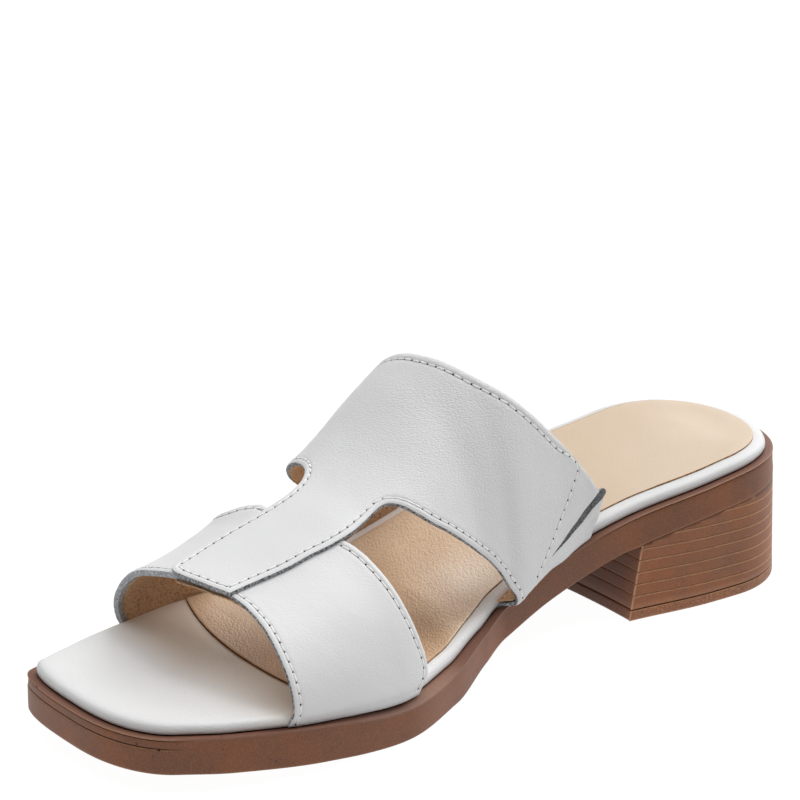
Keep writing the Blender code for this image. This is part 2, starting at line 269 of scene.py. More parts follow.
def add_piece(name, points, faces, finishes, replaces=(), values=None, choice=None,
              outwards=True, sharp=50.0):
    """Object from points (mm) and faces; choice is the number of each face's finish."""
    mesh = bpy.data.meshes.new(name)
    mesh.from_pydata((np.asarray(points) * MM).tolist(), [], [list(f) for f in faces])
    for key, value in (values or {}).items():
        layer = mesh.attributes.new(key, "FLOAT", "POINT")
        layer.data.foreach_set("value", np.asarray(value, dtype=np.float32).ravel())
    for finish in finishes:
        mesh.materials.append(finish)
    if choice is not None:
        mesh.polygons.foreach_set("material_index", choice.astype(np.int32))
    work = bmesh.new()
    work.from_mesh(mesh)
    bmesh.ops.remove_doubles(work, verts=work.verts, dist=0.004 * MM)
    if outwards:
        bmesh.ops.recalc_face_normals(work, faces=work.faces)
    work.to_mesh(mesh)
    work.free()
    mesh.shade_smooth()
    if sharp:
        mesh.set_sharp_from_angle(angle=math.radians(sharp))
    piece = add_object(name, mesh)
    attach(piece, "root")
    if replaces:
        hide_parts(*replaces)
    print(name, len(mesh.polygons), "faces")
    return piece


# rim is the ledge's redder brown. The tan mark is wear, and also painted light: highlights on lips that face
# up, and the ledge beside the window. dark is painted shade in grooves, crevices, under the wings and on the
# heel's front face, and the dark joint of heel and sole; pitted is where the casting's pits go.
MARKS = ("rim", "wear_and_light", "dark", "pitted")       # what the brown finish reads at each point


def add_rings(name, rings, caps, finish, node):
    """Rings of points joined by quads and closed by caps; each brings a value for every mark."""
    points, *marks = zip(*rings)
    count = len(points[0])
    values = {mark: [np.broadcast_to(v, count) for v in column] for mark, column in zip(MARKS, marks)}
    faces = grid_faces(len(points), count, wrap=True).tolist() + caps
    add_piece(name, np.vstack(points), faces, [finish], [node], values)


def ladder_faces(first, count):
    """Quads that close a ring between its two sides, like the rungs of a ladder."""
    i = np.arange(1, count // 2 - 1)
    rungs = np.stack([first + i, first + i + 1, first + count - i - 1, first + count - i], axis=-1)
    half = first + count // 2
    return rungs.tolist() + [[first, first + 1, first + count - 1], [half - 1, half, half + 1]]


def swell(points, wavelength, seed, waves=18):
    """Gentle random unevenness, from -1 to 1: a sum of cosines in random directions."""
    source = np.random.default_rng(seed)
    way = source.normal(size=(waves, 3))
    pace = 2 * math.pi / wavelength * source.uniform(0.6, 1.5, waves)
    way *= (pace / np.linalg.norm(way, axis=1))[:, None]
    phase = source.uniform(0, 2 * math.pi, waves)
    return np.cos(points @ way.T + phase).sum(axis=-1) / math.sqrt(waves) / 1.6


# %% [markdown]
# ## Finishes
# All finishes are node trees on a Principled shader. A small helper adds a node and joins it up
# in one line. Texture patterns read Object coordinates in metres, so a scale of 1000 makes one
# repeat in each millimetre.

# %% Node helpers


def new_finish(name, colour, roughness, **settings):
    """Material with a Principled shader; settings are the shader's other sockets."""
    finish = bpy.data.materials.new(name)
    finish.use_nodes = True
    shader = finish.node_tree.nodes["Principled BSDF"]
    shader.inputs["Base Color"].default_value = (*colour, 1.0)
    shader.inputs["Roughness"].default_value = roughness
    for key, value in settings.items():
        shader.inputs[key.replace("_", " ")].default_value = value
    return finish, finish.node_tree, shader


def fill_socket(tree, socket, value):
    """Joins another node's output to the socket, or sets a plain value on it."""
    if isinstance(value, bpy.types.NodeSocket):
        tree.links.new(value, socket)
    else:
        socket.default_value = value


def add_node(tree, kind, inputs, **settings):
    """A node; each input is a plain value or another node's output socket."""
    node = tree.nodes.new("ShaderNode" + kind)
    for key, value in settings.items():
        setattr(node, key, value)
    for key, value in inputs.items():
        fill_socket(tree, node.inputs[key], value)
    return node


def place_pattern(tree, stretch=1.0, turn=0.0):
    """Object coordinates, drawn out by stretch along the level direction turn (radians)."""
    coordinates = tree.nodes.new("ShaderNodeTexCoord").outputs["Object"]
    inputs = {"Vector": coordinates, "Scale": (stretch, 1.0, 1.0), "Rotation": (0.0, 0.0, turn)}
    return add_node(tree, "Mapping", inputs, vector_type="TEXTURE").outputs["Vector"]


def noise(tree, vector, scale, detail=2.0, roughness=0.5):
    """Smooth random pattern from 0 to 1; scale is repeats in a metre."""
    return add_node(tree, "TexNoise", {"Vector": vector, "Scale": scale, "Detail": detail,
                                       "Roughness": roughness}).outputs["Fac"]


def cells(tree, vector, scale, feature="F1"):
    """Distance to the nearest of many scattered seeds."""
    return add_node(tree, "TexVoronoi", {"Vector": vector, "Scale": scale},
                    feature=feature).outputs["Distance"]


def between(tree, value, low, high, to_low=0.0, to_high=1.0):
    """The value's range low..high stretched to to_low..to_high, and cut off there."""
    return add_node(tree, "MapRange", {"Value": value, "From Min": low, "From Max": high,
                                       "To Min": to_low, "To Max": to_high}).outputs["Result"]


def compute(tree, operation, first, second):
    """One step of arithmetic."""
    return add_node(tree, "Math", {0: first, 1: second}, operation=operation).outputs[0]


def times(tree, first, second):
    """The product of two patterns."""
    return compute(tree, "MULTIPLY", first, second)


def blend(tree, share, first, second):
    """Colour between two colours."""
    node = add_node(tree, "Mix", {"Factor": share}, data_type="RGBA")
    for socket, value in ((node.inputs[6], first), (node.inputs[7], second)):
        fill_socket(tree, socket, value if isinstance(value, bpy.types.NodeSocket) else (*value, 1.0))
    return node.outputs[2]


def attribute(tree, name):
    """A number kept on the mesh's points; 0 where the mesh has none of that name."""
    return add_node(tree, "Attribute", {}, attribute_name=name).outputs["Fac"]


def emboss(tree, shader, height, distance, under_it=None):
    """Bump from a height pattern; distance is the height of 1, in mm."""
    inputs = {"Height": height, "Distance": distance * MM}
    if under_it is not None:
        inputs["Normal"] = under_it
    bump = add_node(tree, "Bump", inputs).outputs["Normal"]
    tree.links.new(bump, shader.inputs["Normal"])
    return bump


def scaled(colour, factors):
    """The colour with each channel times its factor, at most 1."""
    return [min(1, c * k) for c, k in zip(colour, factors)]


# %% [markdown]
# ### White leather
# The upper is smooth full-grain leather with a fine pebbled grain: small rounded cells, a little
# longer in one direction, with soft wrinkles between groups of them. Cells from a Voronoi pattern
# give the pebbles, and a slower noise makes the grain weaker in some places than in others, as it
# is on a real hide. The footbed's leather is smoother. The attribute grained says how deep the
# grain is, and stitch how near the next seam is; along each stitch line the leather is painted
# darker, a painted shadow for the stitch groove. Two more attributes paint light into the white:
# painted light that turns the footbed's far roll lighter where the arch shades it, and a painted
# warm bounce of light from the tan lining under the front straps.

# %% White leather for the upper and the footbed
BRIGHT_WHITE = (0.86, 0.86, 0.85)
# The next factors warm the white for the painted bounce light from the tan lining.
BOUNCE_WARMTH = (1.0, 0.92, 0.82)
LEATHER_RUN = 0.88      # direction of the hide's longer cells, in radians


def white_leather(name, colour, roughness, grain, crease, shade):
    """Leather with pebbles and creases in mm; shade is how dark the painted shadow along each seam's pressed
    line is.
    """
    finish, tree, shader = new_finish(name, colour, roughness, Specular_IOR_Level=0.4)
    vector = place_pattern(tree, 1.7, LEATHER_RUN)
    ripple = noise(tree, vector, 2500.0, 1.0, 0.4)
    pebble = cells(tree, vector, 2000.0, "SMOOTH_F1")
    slow = noise(tree, vector, 600.0, 1.0, 0.4)
    amount = times(tree, attribute(tree, "grained"),
                   between(tree, noise(tree, vector, 30.0), 0.38, 0.62, 0.5, 1.0))
    relief = compute(tree, "SUBTRACT", between(tree, ripple, 0.25, 0.75), times(tree, pebble, 0.5))
    first = emboss(tree, shader, times(tree, relief, amount), grain)
    emboss(tree, shader, slow, crease, first)
    # Painted light: the white turns lighter on the footbed's far roll, where the arch shades it.
    base = blend(tree, attribute(tree, "painted_light"), colour, BRIGHT_WHITE)
    # Painted bounce light: the footbed under the front straps turns warmer, standing for light bounced from
    # the tan lining.
    base = blend(tree, attribute(tree, "painted_bounce"), base, scaled(colour, BOUNCE_WARMTH))
    # Painted shadow: along each stitch line the leather is darkened, standing for the shadow in the stitch
    # groove.
    pressed = between(tree, attribute(tree, "stitch"), 0.0, 0.40, shade, 0.0)
    base = blend(tree, pressed, base, scaled(colour, (0.3, 0.3, 0.3)))
    tree.links.new(base, shader.inputs["Base Color"])
    return finish


leather_white = white_leather("leather_white", (0.72, 0.72, 0.725), 0.42, 0.13, 0.008, 0.55)
footbed_white = white_leather("footbed_white", (0.705, 0.705, 0.705), 0.42, 0.06, 0.03, 0.0)

# %% [markdown]
# ### Cut edges
# Chrome-tanned leather is grey all the way through, so wherever this upper is cut its edge shows
# as a dark felted line. The fibres stand up unevenly, which a coarse noise on the colour and on
# the bump suggests. The same felt serves for the leather's paler flesh side, for the elastic
# inside the slit, and in browns for the cut edges of the tan leathers.

# %% Felted edges and elastic


def felted(name, dark, light, scale):
    """Fibrous surface that goes from dark to light in speckles."""
    finish, tree, shader = new_finish(name, light, 0.85, Specular_IOR_Level=0.25)
    speckle = noise(tree, place_pattern(tree), scale, 4.0, 0.65)
    tree.links.new(blend(tree, between(tree, speckle, 0.38, 0.66), dark, light),
                   shader.inputs["Base Color"])
    emboss(tree, shader, speckle, 0.25)
    return finish


raw_edge = felted("raw_edge_grey", (0.06, 0.062, 0.068), (0.60, 0.61, 0.63), 1500.0)
flesh_side = felted("flesh_side_grey", (0.30, 0.31, 0.325), (0.62, 0.635, 0.66), 1400.0)
elastic_grey = felted("elastic_grey", (0.075, 0.075, 0.078), (0.22, 0.22, 0.225), 1300.0)
sock_side_edge = felted("sock_side_edge", (0.22, 0.10, 0.035), (0.52, 0.31, 0.14), 700.0)
lining_edge = felted("lining_edge", (0.42, 0.25, 0.13), (0.78, 0.52, 0.32), 1100.0)
burnt_edge = felted("burnt_edge", (0.13, 0.055, 0.02), (0.28, 0.13, 0.05), 900.0)

# %% [markdown]
# ### Tan lining and sock
# Lining and sock are unfinished pigskin-like leather in tan. The heel of the sock is rubbed
# smooth by the foot, and the attribute grained brings the grain back in front of it. On the sock it
# also turns the colour from a darker heel to a paler middle: painted light, paler where the waist
# lies in the strap's shade and darker where the heel is strongly lit. The grain's valleys are
# painted darker as their shade. Another attribute paints a sheen on the sock at the waist, a painted
# highlight, and the attribute shade marks a painted shadow along the inner wing's rear edge and
# under the front straps.

# %% Tan leathers
# Colour of the sock's painted sheen, a painted highlight.
PAINTED_SHEEN_TAN = (0.95, 0.86, 0.74)


def tan_leather(name, colour, plain, deep, roughness, grain, contrast):
    """Tan leather that goes from plain to grained; grain in mm, contrast of the painted shade in its
    valleys.
    """
    finish, tree, shader = new_finish(name, colour, roughness, Specular_IOR_Level=0.45)
    vector = place_pattern(tree, 1.8, 2.45)
    pebble = cells(tree, vector, 1250.0, "SMOOTH_F1")
    ripple = noise(tree, vector, 1500.0)
    speck = between(tree, noise(tree, vector, 2600.0, 2.0, 0.6), 0.58, 0.75, 0.0, 0.3)
    blotch = between(tree, noise(tree, vector, 60.0), 0.35, 0.7, 0.0, 0.18)
    relief = compute(tree, "SUBTRACT", between(tree, ripple, 0.28, 0.72), times(tree, pebble, 0.6))
    amount = attribute(tree, "grained")
    emboss(tree, shader, times(tree, relief, amount), grain)
    # Painted shade: the grain's valleys are darkened.
    valley_shade = times(tree, between(tree, relief, -0.25, 0.35, contrast, 0.0), amount)
    share = compute(tree, "ADD", compute(tree, "ADD", blotch, valley_shade), speck)
    painted_sheen = attribute(tree, "painted_sheen")
    # Where plain and colour differ, as on the sock, the grained part is painted paler: painted light for the
    # waist in the strap's shade. The sheen over it is a painted highlight.
    base = blend(tree, painted_sheen, blend(tree, amount, plain, colour), PAINTED_SHEEN_TAN)
    base = blend(tree, times(tree, share, between(tree, painted_sheen, 0.0, 1.0, 1.0, 0.2)), base, deep)
    # Painted shadow, where the shade attribute is set.
    base = blend(tree, times(tree, attribute(tree, "shade"), 0.73), base, deep)
    tree.links.new(base, shader.inputs["Base Color"])
    return finish


sock_tan = tan_leather("sock_tan", (0.82, 0.65, 0.475), (0.62, 0.50, 0.375), (0.50, 0.32, 0.185),
                       0.34, 0.14, 0.26)
lining_tan = tan_leather("lining_tan", (0.64, 0.41, 0.24), (0.64, 0.41, 0.24), (0.33, 0.18, 0.09),
                         0.7, 0.30, 0.75)

# %% [markdown]
# ### Moulded sole
# Sole and heel are moulded plastic coloured like stacked leather. The flat top of the rim is a
# redder brown, the sides are greyer, and thin edges show a light tan: partly wear, and partly a
# painted highlight where a lip faces up into the light. Grooves and crevices are painted dark as
# their shade. Small dark pits and pale specks come from the casting. Four attributes, for the rim,
# the tan, the dark and the pits, are set by the shapes below.

# %% Brown sole, heel and lift
DARK_BROWN = (0.055, 0.018, 0.009)
WEAR_AND_LIGHT_TAN = (0.60, 0.33, 0.18)
LEDGE_BROWN = (0.172, 0.077, 0.050)


def sole_brown(name, side, speck=0.3, coarse=0.05):
    """Brown plastic whose colour follows the point's rim, tan (wear and painted light), dark (painted shade)
    and pitted values.
    """
    finish, tree, shader = new_finish(name, side, 0.45, Specular_IOR_Level=0.3)
    vector = place_pattern(tree)
    cloud = noise(tree, vector, 60.0, 4.0, 0.6)
    fine = noise(tree, vector, 2300.0, 2.0, 0.6)
    base = blend(tree, between(tree, cloud, 0.35, 0.65), scaled(side, (0.84, 0.84, 0.84)),
                 scaled(side, (1.22, 1.0, 0.72)))
    base = blend(tree, between(tree, fine, 0.46, 0.68, 0.0, speck), base, scaled(side, (2.4, 2.2, 1.9)))
    base = blend(tree, between(tree, fine, 0.30, 0.46, 0.35 * speck, 0.0), base, DARK_BROWN)
    base = blend(tree, attribute(tree, "rim"), base, LEDGE_BROWN)
    patchy = between(tree, noise(tree, vector, 420.0, 3.0), 0.25, 0.5, 0.6, 1.0)
    # Tan for wear, and painted light on lit lips and beside the window.
    base = blend(tree, times(tree, attribute(tree, "wear_and_light"), patchy), base, WEAR_AND_LIGHT_TAN)
    pit = between(tree, cells(tree, vector, 430.0), 0.10, 0.19, 1.0, 0.0)
    pit = times(tree, pit, between(tree, noise(tree, vector, 95.0), 0.5, 0.62))
    pit = times(tree, pit, attribute(tree, "pitted"))
    # Dark brown for the casting's pits, and for painted shade where dark is set.
    base = blend(tree, compute(tree, "MAXIMUM", pit, attribute(tree, "dark")), base, DARK_BROWN)
    tree.links.new(base, shader.inputs["Base Color"])
    tree.links.new(between(tree, fine, 0.3, 0.7, 0.38, 0.56), shader.inputs["Roughness"])
    first = emboss(tree, shader, fine, coarse)
    emboss(tree, shader, compute(tree, "SUBTRACT", 1.0, pit), 0.25, first)
    return finish


sole_finish = sole_brown("sole_brown", (0.182, 0.078, 0.043))
heel_finish = sole_brown("heel_brown", (0.240, 0.100, 0.050))
lift_finish = sole_brown("lift_brown", (0.235, 0.108, 0.060), speck=0.85, coarse=0.16)

# %% [markdown]
# ## The outsole
# The sole is one profile carried round the outline. From below: a rounded lower edge, a straight
# side, a narrow groove three millimetres under the rim, a slightly sunken band, a fine lip, and the
# flat ledge that the footbed stands on. The groove is cut sharply at the toe and at the back of the
# heel, and fades out along the waist, so its depth is a function of the station. The groove, the
# undercut under the lip and the crevice under the footbed's roll are painted dark as their shade.
# Beside the inner window and wing the rim hangs a little; there the ledge's top is painted a lighter
# tan, painted light where it tilts out, and where the wings stand on the ledge it is painted dark as
# their contact shadow.

# %% Profile of the outsole
# In the ledge rows, dark is painted shade: in the groove, under the lip, and in the crevice under the
# footbed's roll. The tan of the row just under the groove and on the lip's top is partly wear, partly a
# painted highlight.
SOLE_PROFILE = {
    # inset  height  groove  rim  tan: wear and painted light  dark: painted shade
    "under": [
        (5.0, 0.00, 0, 0, 0, 0),
        (1.0, 0.00, 0, 0, 0, 0),
        (0.45, 0.05, 0, 0, 0.1, 0),
        (0.16, 0.20, 0, 0, 0.25, 0),
        (0.04, 0.45, 0, 0, 0.1, 0),
        (0.00, 0.90, 0, 0, 0, 0),
        (0.00, 2.00, 0, 0, 0, 0),
    ],
    "ledge": [
        (0.00, -3.90, 0, 0, 0, 0),
        (0.00, -3.35, 0, 0, 0, 0),
        (0.02, -3.12, 0.2, 0, 0.6, 0),
        (0.05, -2.97, 0.8, 0, 0, 0.9),
        (0.08, -2.83, 1, 0, 0, 1),
        (0.12, -2.70, 0.3, 0, 0, 0.5),
        (0.18, -2.55, 0, 0, 0, 0),
        (0.22, -1.70, 0, 0, 0, 0),
        (0.24, -0.85, 0, 0, 0, 0),
        (0.28, -0.66, 0, 0.1, 0, 0),
        (0.28, -0.58, 0.8, 0.2, 0, 0.9),
        (0.28, -0.46, 0.8, 0.2, 0, 0.9),
        (0.14, -0.36, 0, 0.8, 0.10, 0),
        (0.04, -0.24, 0, 1, 0.50, 0),
        (0.08, -0.12, 0, 1, 0.50, 0),
        (0.24, -0.02, 0, 1, 0.05, 0),
        (0.90, -0.01, 0, 1, 0, 0),
        (1.80, -0.06, 0, 1, 0, 0),
        (2.40, -0.12, 0, 1, 0, 0),
        (2.85, -0.15, 0, 0.6, 0, 0.8),
        (5.50, -0.15, 0, 0.5, 0, 1),
    ],
}
GROOVE_DEPTH = 0.32                     # mm, where the groove is crisp
PLAIN_SHARE = 0.8                       # how far the lines' relief is gone where they aren't
HEEL_SEAT = 0.34                        # mm that the underside is wider where the heel joins
FLANK_PAINTED_LIGHT = 0.09                       # painted light: the ledge beside the window is turned tan, for each mm of slump
TOE_LINES = np.where(INNER, 240, 215)   # from here on the rim's lines turn crisp


def line_strength(station, height):
    """1 where the lines of the rim are crisp: round the toe, and again towards the heel."""
    back = fall(station, 60, 95) if height > -1 else 0.45 * fall(station, 8, 30)
    return ramp(station, TOE_LINES, TOE_LINES + 14) + back


# %% Where the rim hangs, where the ledge is narrower, and where the wings stand on it
SLUMP = 1.4 * span(STATION, 143, 161, 182, 214) * INNER
SLIM = 0.9 * span(STATION, 126, 146, 172, 196) * INNER
SLUMP_REACH = 2.7                       # mm from the edge to where the ledge lies level again
# Painted contact shadow on the ledge where the wings stand on it.
WING_START = np.where(INNER, 174, 130)
WING_CONTACT_SHADE = span(STATION, WING_START, WING_START + np.where(INNER, 7, 10), 219, 226)

# %% Carry the profile round the outline
rings = []
for on_ledge, (inset, height, groove, rim, wear_and_light, dark) in [
        (name == "ledge", row) for name, rows in SOLE_PROFILE.items() for row in rows]:
    crisp = line_strength(STATION, height)
    flush = 0.0 if on_ledge or inset > 4 else fall(STATION, 70, 76)
    plain = PLAIN_SHARE * (1 - crisp) * (on_ledge and inset < 0.3)
    shift = inset * (1 - plain) + SLIM * ramp(inset, 1.2, 2.4) + GROOVE_DEPTH * groove * crisp
    x, station = ring(shift * (1 - flush) - HEEL_SEAT * flush)
    hang = SLUMP * np.clip(1 - inset / SLUMP_REACH, 0, 1)
    level = ledge(station) - hang if on_ledge else under(station)
    fade = crisp if groove else 1.0 - 0.8 * flush
    on_top = on_ledge and height > -0.2
    # Painted light: the slumping ledge top beside the window is turned a lighter tan where it tilts out.
    flank_light = FLANK_PAINTED_LIGHT * SLUMP * fall(STATION, 164, 180) * on_top * fall(inset, 1.8, 3.2)
    # Painted contact shadow under the wings' feet.
    wing_contact_shade = on_ledge * ramp(height, -0.3, 0) * ramp(inset, 0.6, 1.8) * WING_CONTACT_SHADE
    rings.append((place(x, station, level + height), rim,
                  wear_and_light * (fade if height < -1 else 0.3 + 0.7 * crisp) + flank_light,
                  np.maximum(dark * fade, wing_contact_shade), ramp(station, 205, 235) + 0.2 * on_ledge))
caps = ladder_faces(0, RING_COUNT) + ladder_faces((len(rings) - 1) * RING_COUNT, RING_COUNT)
add_rings("outsole_moulded", rings, caps, sole_finish, "outsole")

# %% [markdown]
# ## The heel
# The block imitates a stack of leather layers: every 3.8 mm a thin groove runs round it, also over
# the hollow front face. The edge below each groove looks up into the light and is painted a light
# tan, partly wear and partly a painted highlight; the bottom of the groove is painted dark as its
# shade. The hollow front face is painted darker as its shade, most towards the outer corner. Rings
# at rising heights make the block. A ring that would rise above the sole's underside is pressed flat
# against it, and the doubled points are then merged, so the layers run out against the sole at a
# slant, as they do on the real heel. The lift under the block is made by the same function from rows
# of its own.

# %% Rings of the heel
BREAST_STATION, BREAST_LEAN, BREAST_HOLLOW, HEEL_OVERHANG = 72.8, 0.16, 2.0, 0.4
FLARE_SIDE, FLARE_BACK = 0.4, 2.4
LAYER_TOPS = [7.87, 11.6, 15.35, 19.1, 22.8, 26.55, 30.3]
LAYER_SLANT, LAYER_LEVEL = 0.02, 68     # the layers sink for each mm behind this station
SEAT_GAP, PRESSED = 0.06, 0.28          # mm left under the sole, and mm in which a layer is pressed
SIDE_ROWS, FRONT_COUNT = 46, 50
WEAR_WIDTH, FRONT_SHADE_WIDTH = 0.22, 9.0      # mm in which the corners' wear and the front face's painted shade change
back = HEEL_END + HEEL_ROUND * (1 - np.cos(np.linspace(0, math.pi / 2, 60)))
SIDE_COUNT = len(back) + SIDE_ROWS
CORNERS = [SIDE_COUNT - 1, SIDE_COUNT + FRONT_COUNT]
FRONT = slice(SIDE_COUNT, SIDE_COUNT + FRONT_COUNT)


def heel_ring(height, inset):
    """Points of the heel at one height: sides of the sole, hollow front, flared down."""
    breast = BREAST_STATION - BREAST_LEAN * height
    medial, lateral = both_sides(np.concatenate([
        back, np.linspace(back[-1], breast - 0.35, SIDE_ROWS)[1:], [breast]]))
    across = np.concatenate([[0.007], np.linspace(0, 1, FRONT_COUNT)[1:-1], [0.993]])
    front = np.column_stack([medial[-1, 0] + (lateral[-1, 0] - medial[-1, 0]) * across,
                             breast - BREAST_HOLLOW * 4 * across * (1 - across)])
    loop = np.vstack([medial, front, lateral[:0:-1]])
    outside = np.ones(len(loop))
    outside[FRONT] = 0.0
    loop = loop + (inset - HEEL_OVERHANG * outside)[:, None] * unit(turned_in(loop))
    share = 1 - height / under(0.0)
    into_back = (BREAST_STATION - loop[:, 1]) / (BREAST_STATION - HEEL_END)
    side = np.clip(loop[:, 0] / 8, -1, 1)
    return loop + share * np.column_stack([FLARE_SIDE * side, -FLARE_BACK * into_back])


def corner_wear(loop):
    """1 at the two upright corners beside the front face, fading within a millimetre."""
    return np.exp(-(nearest(loop, loop[CORNERS]) / WEAR_WIDTH) ** 2)


def front_painted_shade(loop):
    """Painted shade on the hollow front face, growing darker from the inner corner towards the outer one."""
    gloom = np.zeros(len(loop))
    away = np.linalg.norm(loop[FRONT] - loop[CORNERS[0]], axis=1)
    gloom[FRONT] = 0.42 + 0.48 * (1 - np.exp(-away / FRONT_SHADE_WIDTH))
    return gloom


def heel_piece(name, rows, finish, node, pitted):
    """Rings stacked up and closed by two caps; a row is height, inset, tan (wear and painted highlight) and
    dark (painted shade).
    """
    rings = []
    for height, inset, wear_and_light, dark in rows:
        loop = heel_ring(height, inset)
        seat = under(loop[:, 1]) - SEAT_GAP
        level = height - LAYER_SLANT * (LAYER_LEVEL - loop[:, 1]) * ramp(height, 3.6, 8.0)
        pressed = np.clip((level - seat + PRESSED) / PRESSED, 0, 1)
        chips = ramp(swell(place(*loop.T, level), 3.0, 21), 0.35, 0.8) * fall(loop[:, 1], 12, 40)
        wear, gloom = 0.9 * pressed * chips, 0.75 * pressed * (1 - chips)
        rings.append((place(*loop.T, np.minimum(level, seat)), 0.0,
                      np.maximum.reduce([wear_and_light * (1 - pressed), corner_wear(loop), wear]),
                      np.maximum.reduce([dark * (1 - pressed), front_painted_shade(loop), gloom]), pitted))
    count, total = len(loop), len(rows) * len(loop)
    caps = [list(range(count)), list(range(total - count, total))]
    add_rings(name, rings, caps, finish, node)


# %% The layered block
LAYER = [
    # height from the layer's top  inset  tan: wear and painted highlight  dark: painted shade
    (-1.9, 0.0, 0.0, 0.0), (-0.42, 0.0, 0.0, 0.0), (-0.27, 0.02, 0.55, 0.0),
    (-0.14, 0.08, 1.0, 0.0), (-0.01, 0.22, 1.0, 0.0), (0.08, 0.30, 0.2, 0.45),
    (0.18, 0.12, 0.0, 0.45), (0.32, 0.0, 0.0, 0.12), (0.6, 0.0, 0.0, 0.0),
]
# The block's lowest rows: the groove above the lift, painted dark as its shade.
rows = [(3.52, 0.34, 0.0, 0.9), (3.66, 0.24, 0.0, 0.8), (3.80, 0.08, 0.0, 0.4), (3.98, 0.01, 0.2, 0.0)]
rows += [(top + height, *rest) for top in LAYER_TOPS for height, *rest in LAYER]
heel_piece("heel_layers", rows + [(34.6, 0.0, 0.0, 0.0)], heel_finish, "heel_block", 0.2)

# %% The lift
LIFT_ROWS = [
    # height  inset  tan: wear and painted highlight  dark: painted shade
    # The lift's foot is painted dark as its contact shadow on the floor; the rows at its top, as the
    # groove's shade.
    (0.00, 0.60, 0.1, 0.4),
    (0.10, 0.28, 0.2, 0.2),
    (0.35, 0.06, 0.3, 0.0),
    (0.80, 0.00, 0.0, 0.0),
    (2.60, 0.00, 0.0, 0.0),
    (3.05, 0.00, 0.1, 0.0),
    (3.24, 0.06, 0.6, 0.0),
    (3.36, 0.20, 0.2, 0.4),
    (3.44, 0.34, 0.0, 0.9),
    (3.50, 0.50, 0.0, 0.9),
]
heel_piece("heel_lift_rubber", LIFT_ROWS, lift_finish, "heel_lift", 0.0)

# %% [markdown]
# ## The footbed
# The footbed is a board wrapped in soft white leather over a little foam. Its edge rolls round
# like a cushion, rises to a low crest, and dips gently towards the middle, where the foot has its
# place. The roll is a profile carried round the outline. The inside is a grid between the roll's
# two sides, and its height falls with the distance from the roll.

# %% Roll and top of the footbed
ROLL = [
    # inset  height
    (3.60, 0.00),
    (3.10, 0.06),
    (2.82, 0.25),
    (2.66, 0.60),
    (2.60, 1.10),
    (2.70, 1.75),
    (2.98, 2.32),
    (3.40, 2.74),
    (4.00, 3.04),
    (4.70, 3.22),
    (5.50, 3.30),
]
DIP, DIP_WIDTH, TOE_PUFF, BED_WAVES, BED_ROWS = 0.7, 8.0, 0.7, 0.06, 34
FAR_FROM_STITCHES = 9.0                 # mm, for leather without a seam
CREST = ring(ROLL[-1][0]).T


def toe_puff(x, station):
    """The cushion is fuller at the outer toes."""
    return TOE_PUFF * ramp(station, 205, 240) * fall(x, -14, 0)


def bed_height(x, station):
    """Height over the ledge inside the roll: the crest less a dip that grows inwards."""
    away = nearest(np.column_stack([np.ravel(x), np.ravel(station)]), CREST[::2])
    dip = DIP * (1 - np.exp(-(away / DIP_WIDTH) ** 2))
    return (ROLL[-1][1] - dip).reshape(np.shape(x)) + toe_puff(x, station)


points = []
for inset, height in ROLL:
    x, station = ring(inset + SLIM * fall(inset, 3.6, 5.5))
    bed = place(x, station, ledge(station) + height)
    bed[:, 2] += (BED_WAVES * swell(bed, 16.0, 3) + toe_puff(x, station)) * ramp(height, 0.6, 2.6)
    points.append(bed)
half = RING_COUNT // 2
across = np.linspace(0, 1, BED_ROWS)[1:-1][:, None, None]
inside_x, inside_station = np.moveaxis(CREST[1:half] + (CREST[:half:-1] - CREST[1:half]) * across, -1, 0)
inner = place(inside_x, inside_station, ledge(inside_station) + bed_height(inside_x, inside_station))
inner[..., 2] += BED_WAVES * swell(inner, 16.0, 3)

# %% Join the roll to the top
first = len(points) * RING_COUNT
top = first - RING_COUNT
columns = half - 1
last = first + (len(inner) - 1) * columns
side = np.arange(columns - 1)
rungs = first + np.arange(len(inner)) * columns
faces = grid_faces(len(points), RING_COUNT, wrap=True).tolist()
faces += (first + grid_faces(len(inner), columns)).tolist()
faces += np.stack([top + 1 + side, top + 2 + side, first + side + 1, first + side], axis=-1).tolist()
faces += np.stack([last + side, last + side + 1, top + RING_COUNT - 2 - side,
                   top + RING_COUNT - 1 - side], axis=-1).tolist()
faces += [[top, top + 1, *rungs.tolist(), top + RING_COUNT - 1]]
faces += [[top + half, top + half - 1, *(rungs + columns - 1).tolist(), top + half + 1]]
faces += ladder_faces(0, RING_COUNT)
bed_points = np.vstack(points + [inner.reshape(-1, 3)])
bed_station = MIDDLE - bed_points[:, 1]
# On the footbed, the far roll is painted lighter, painted light where the arch shades it, and the part under
# the front straps is painted warmer, painted bounce light from the lining.
add_piece("footbed_wrapped", bed_points, faces, [footbed_white], ["footbed"], {
    "stitch": np.full(len(bed_points), FAR_FROM_STITCHES),
    "grained": np.ones(len(bed_points)),
    "painted_light": span(bed_station, 84, 112, 174, 190) * fall(bed_points[:, 0], -10, 0),
    "painted_bounce": span(bed_station, 178, 196, 208, 230)}, sharp=60.0)

# %% [markdown]
# ## The sock
# The tan sock covers the footbed from the heel to a curved edge behind the toes. Its grid runs
# from the heel to the front, with rows bent more and more towards the curve of the front edge. Its
# face lies half a millimetre above the footbed, with shallow creases across, and Solidify gives it
# thickness below. The cut is tan at the sides and burnt brown along the front.

# %% Sock
SOCK_INSET, SOCK_FRONT, SOCK_FRONT_X, SOCK_FRONT_BOW, SOCK_CORNER = 6.5, 202.2, 20.0, 0.0040, 0.045
SOCK_LIFT, SOCK_THICKNESS = 0.5, 0.62
SOCK_ROWS, SOCK_COLUMNS = 260, 70


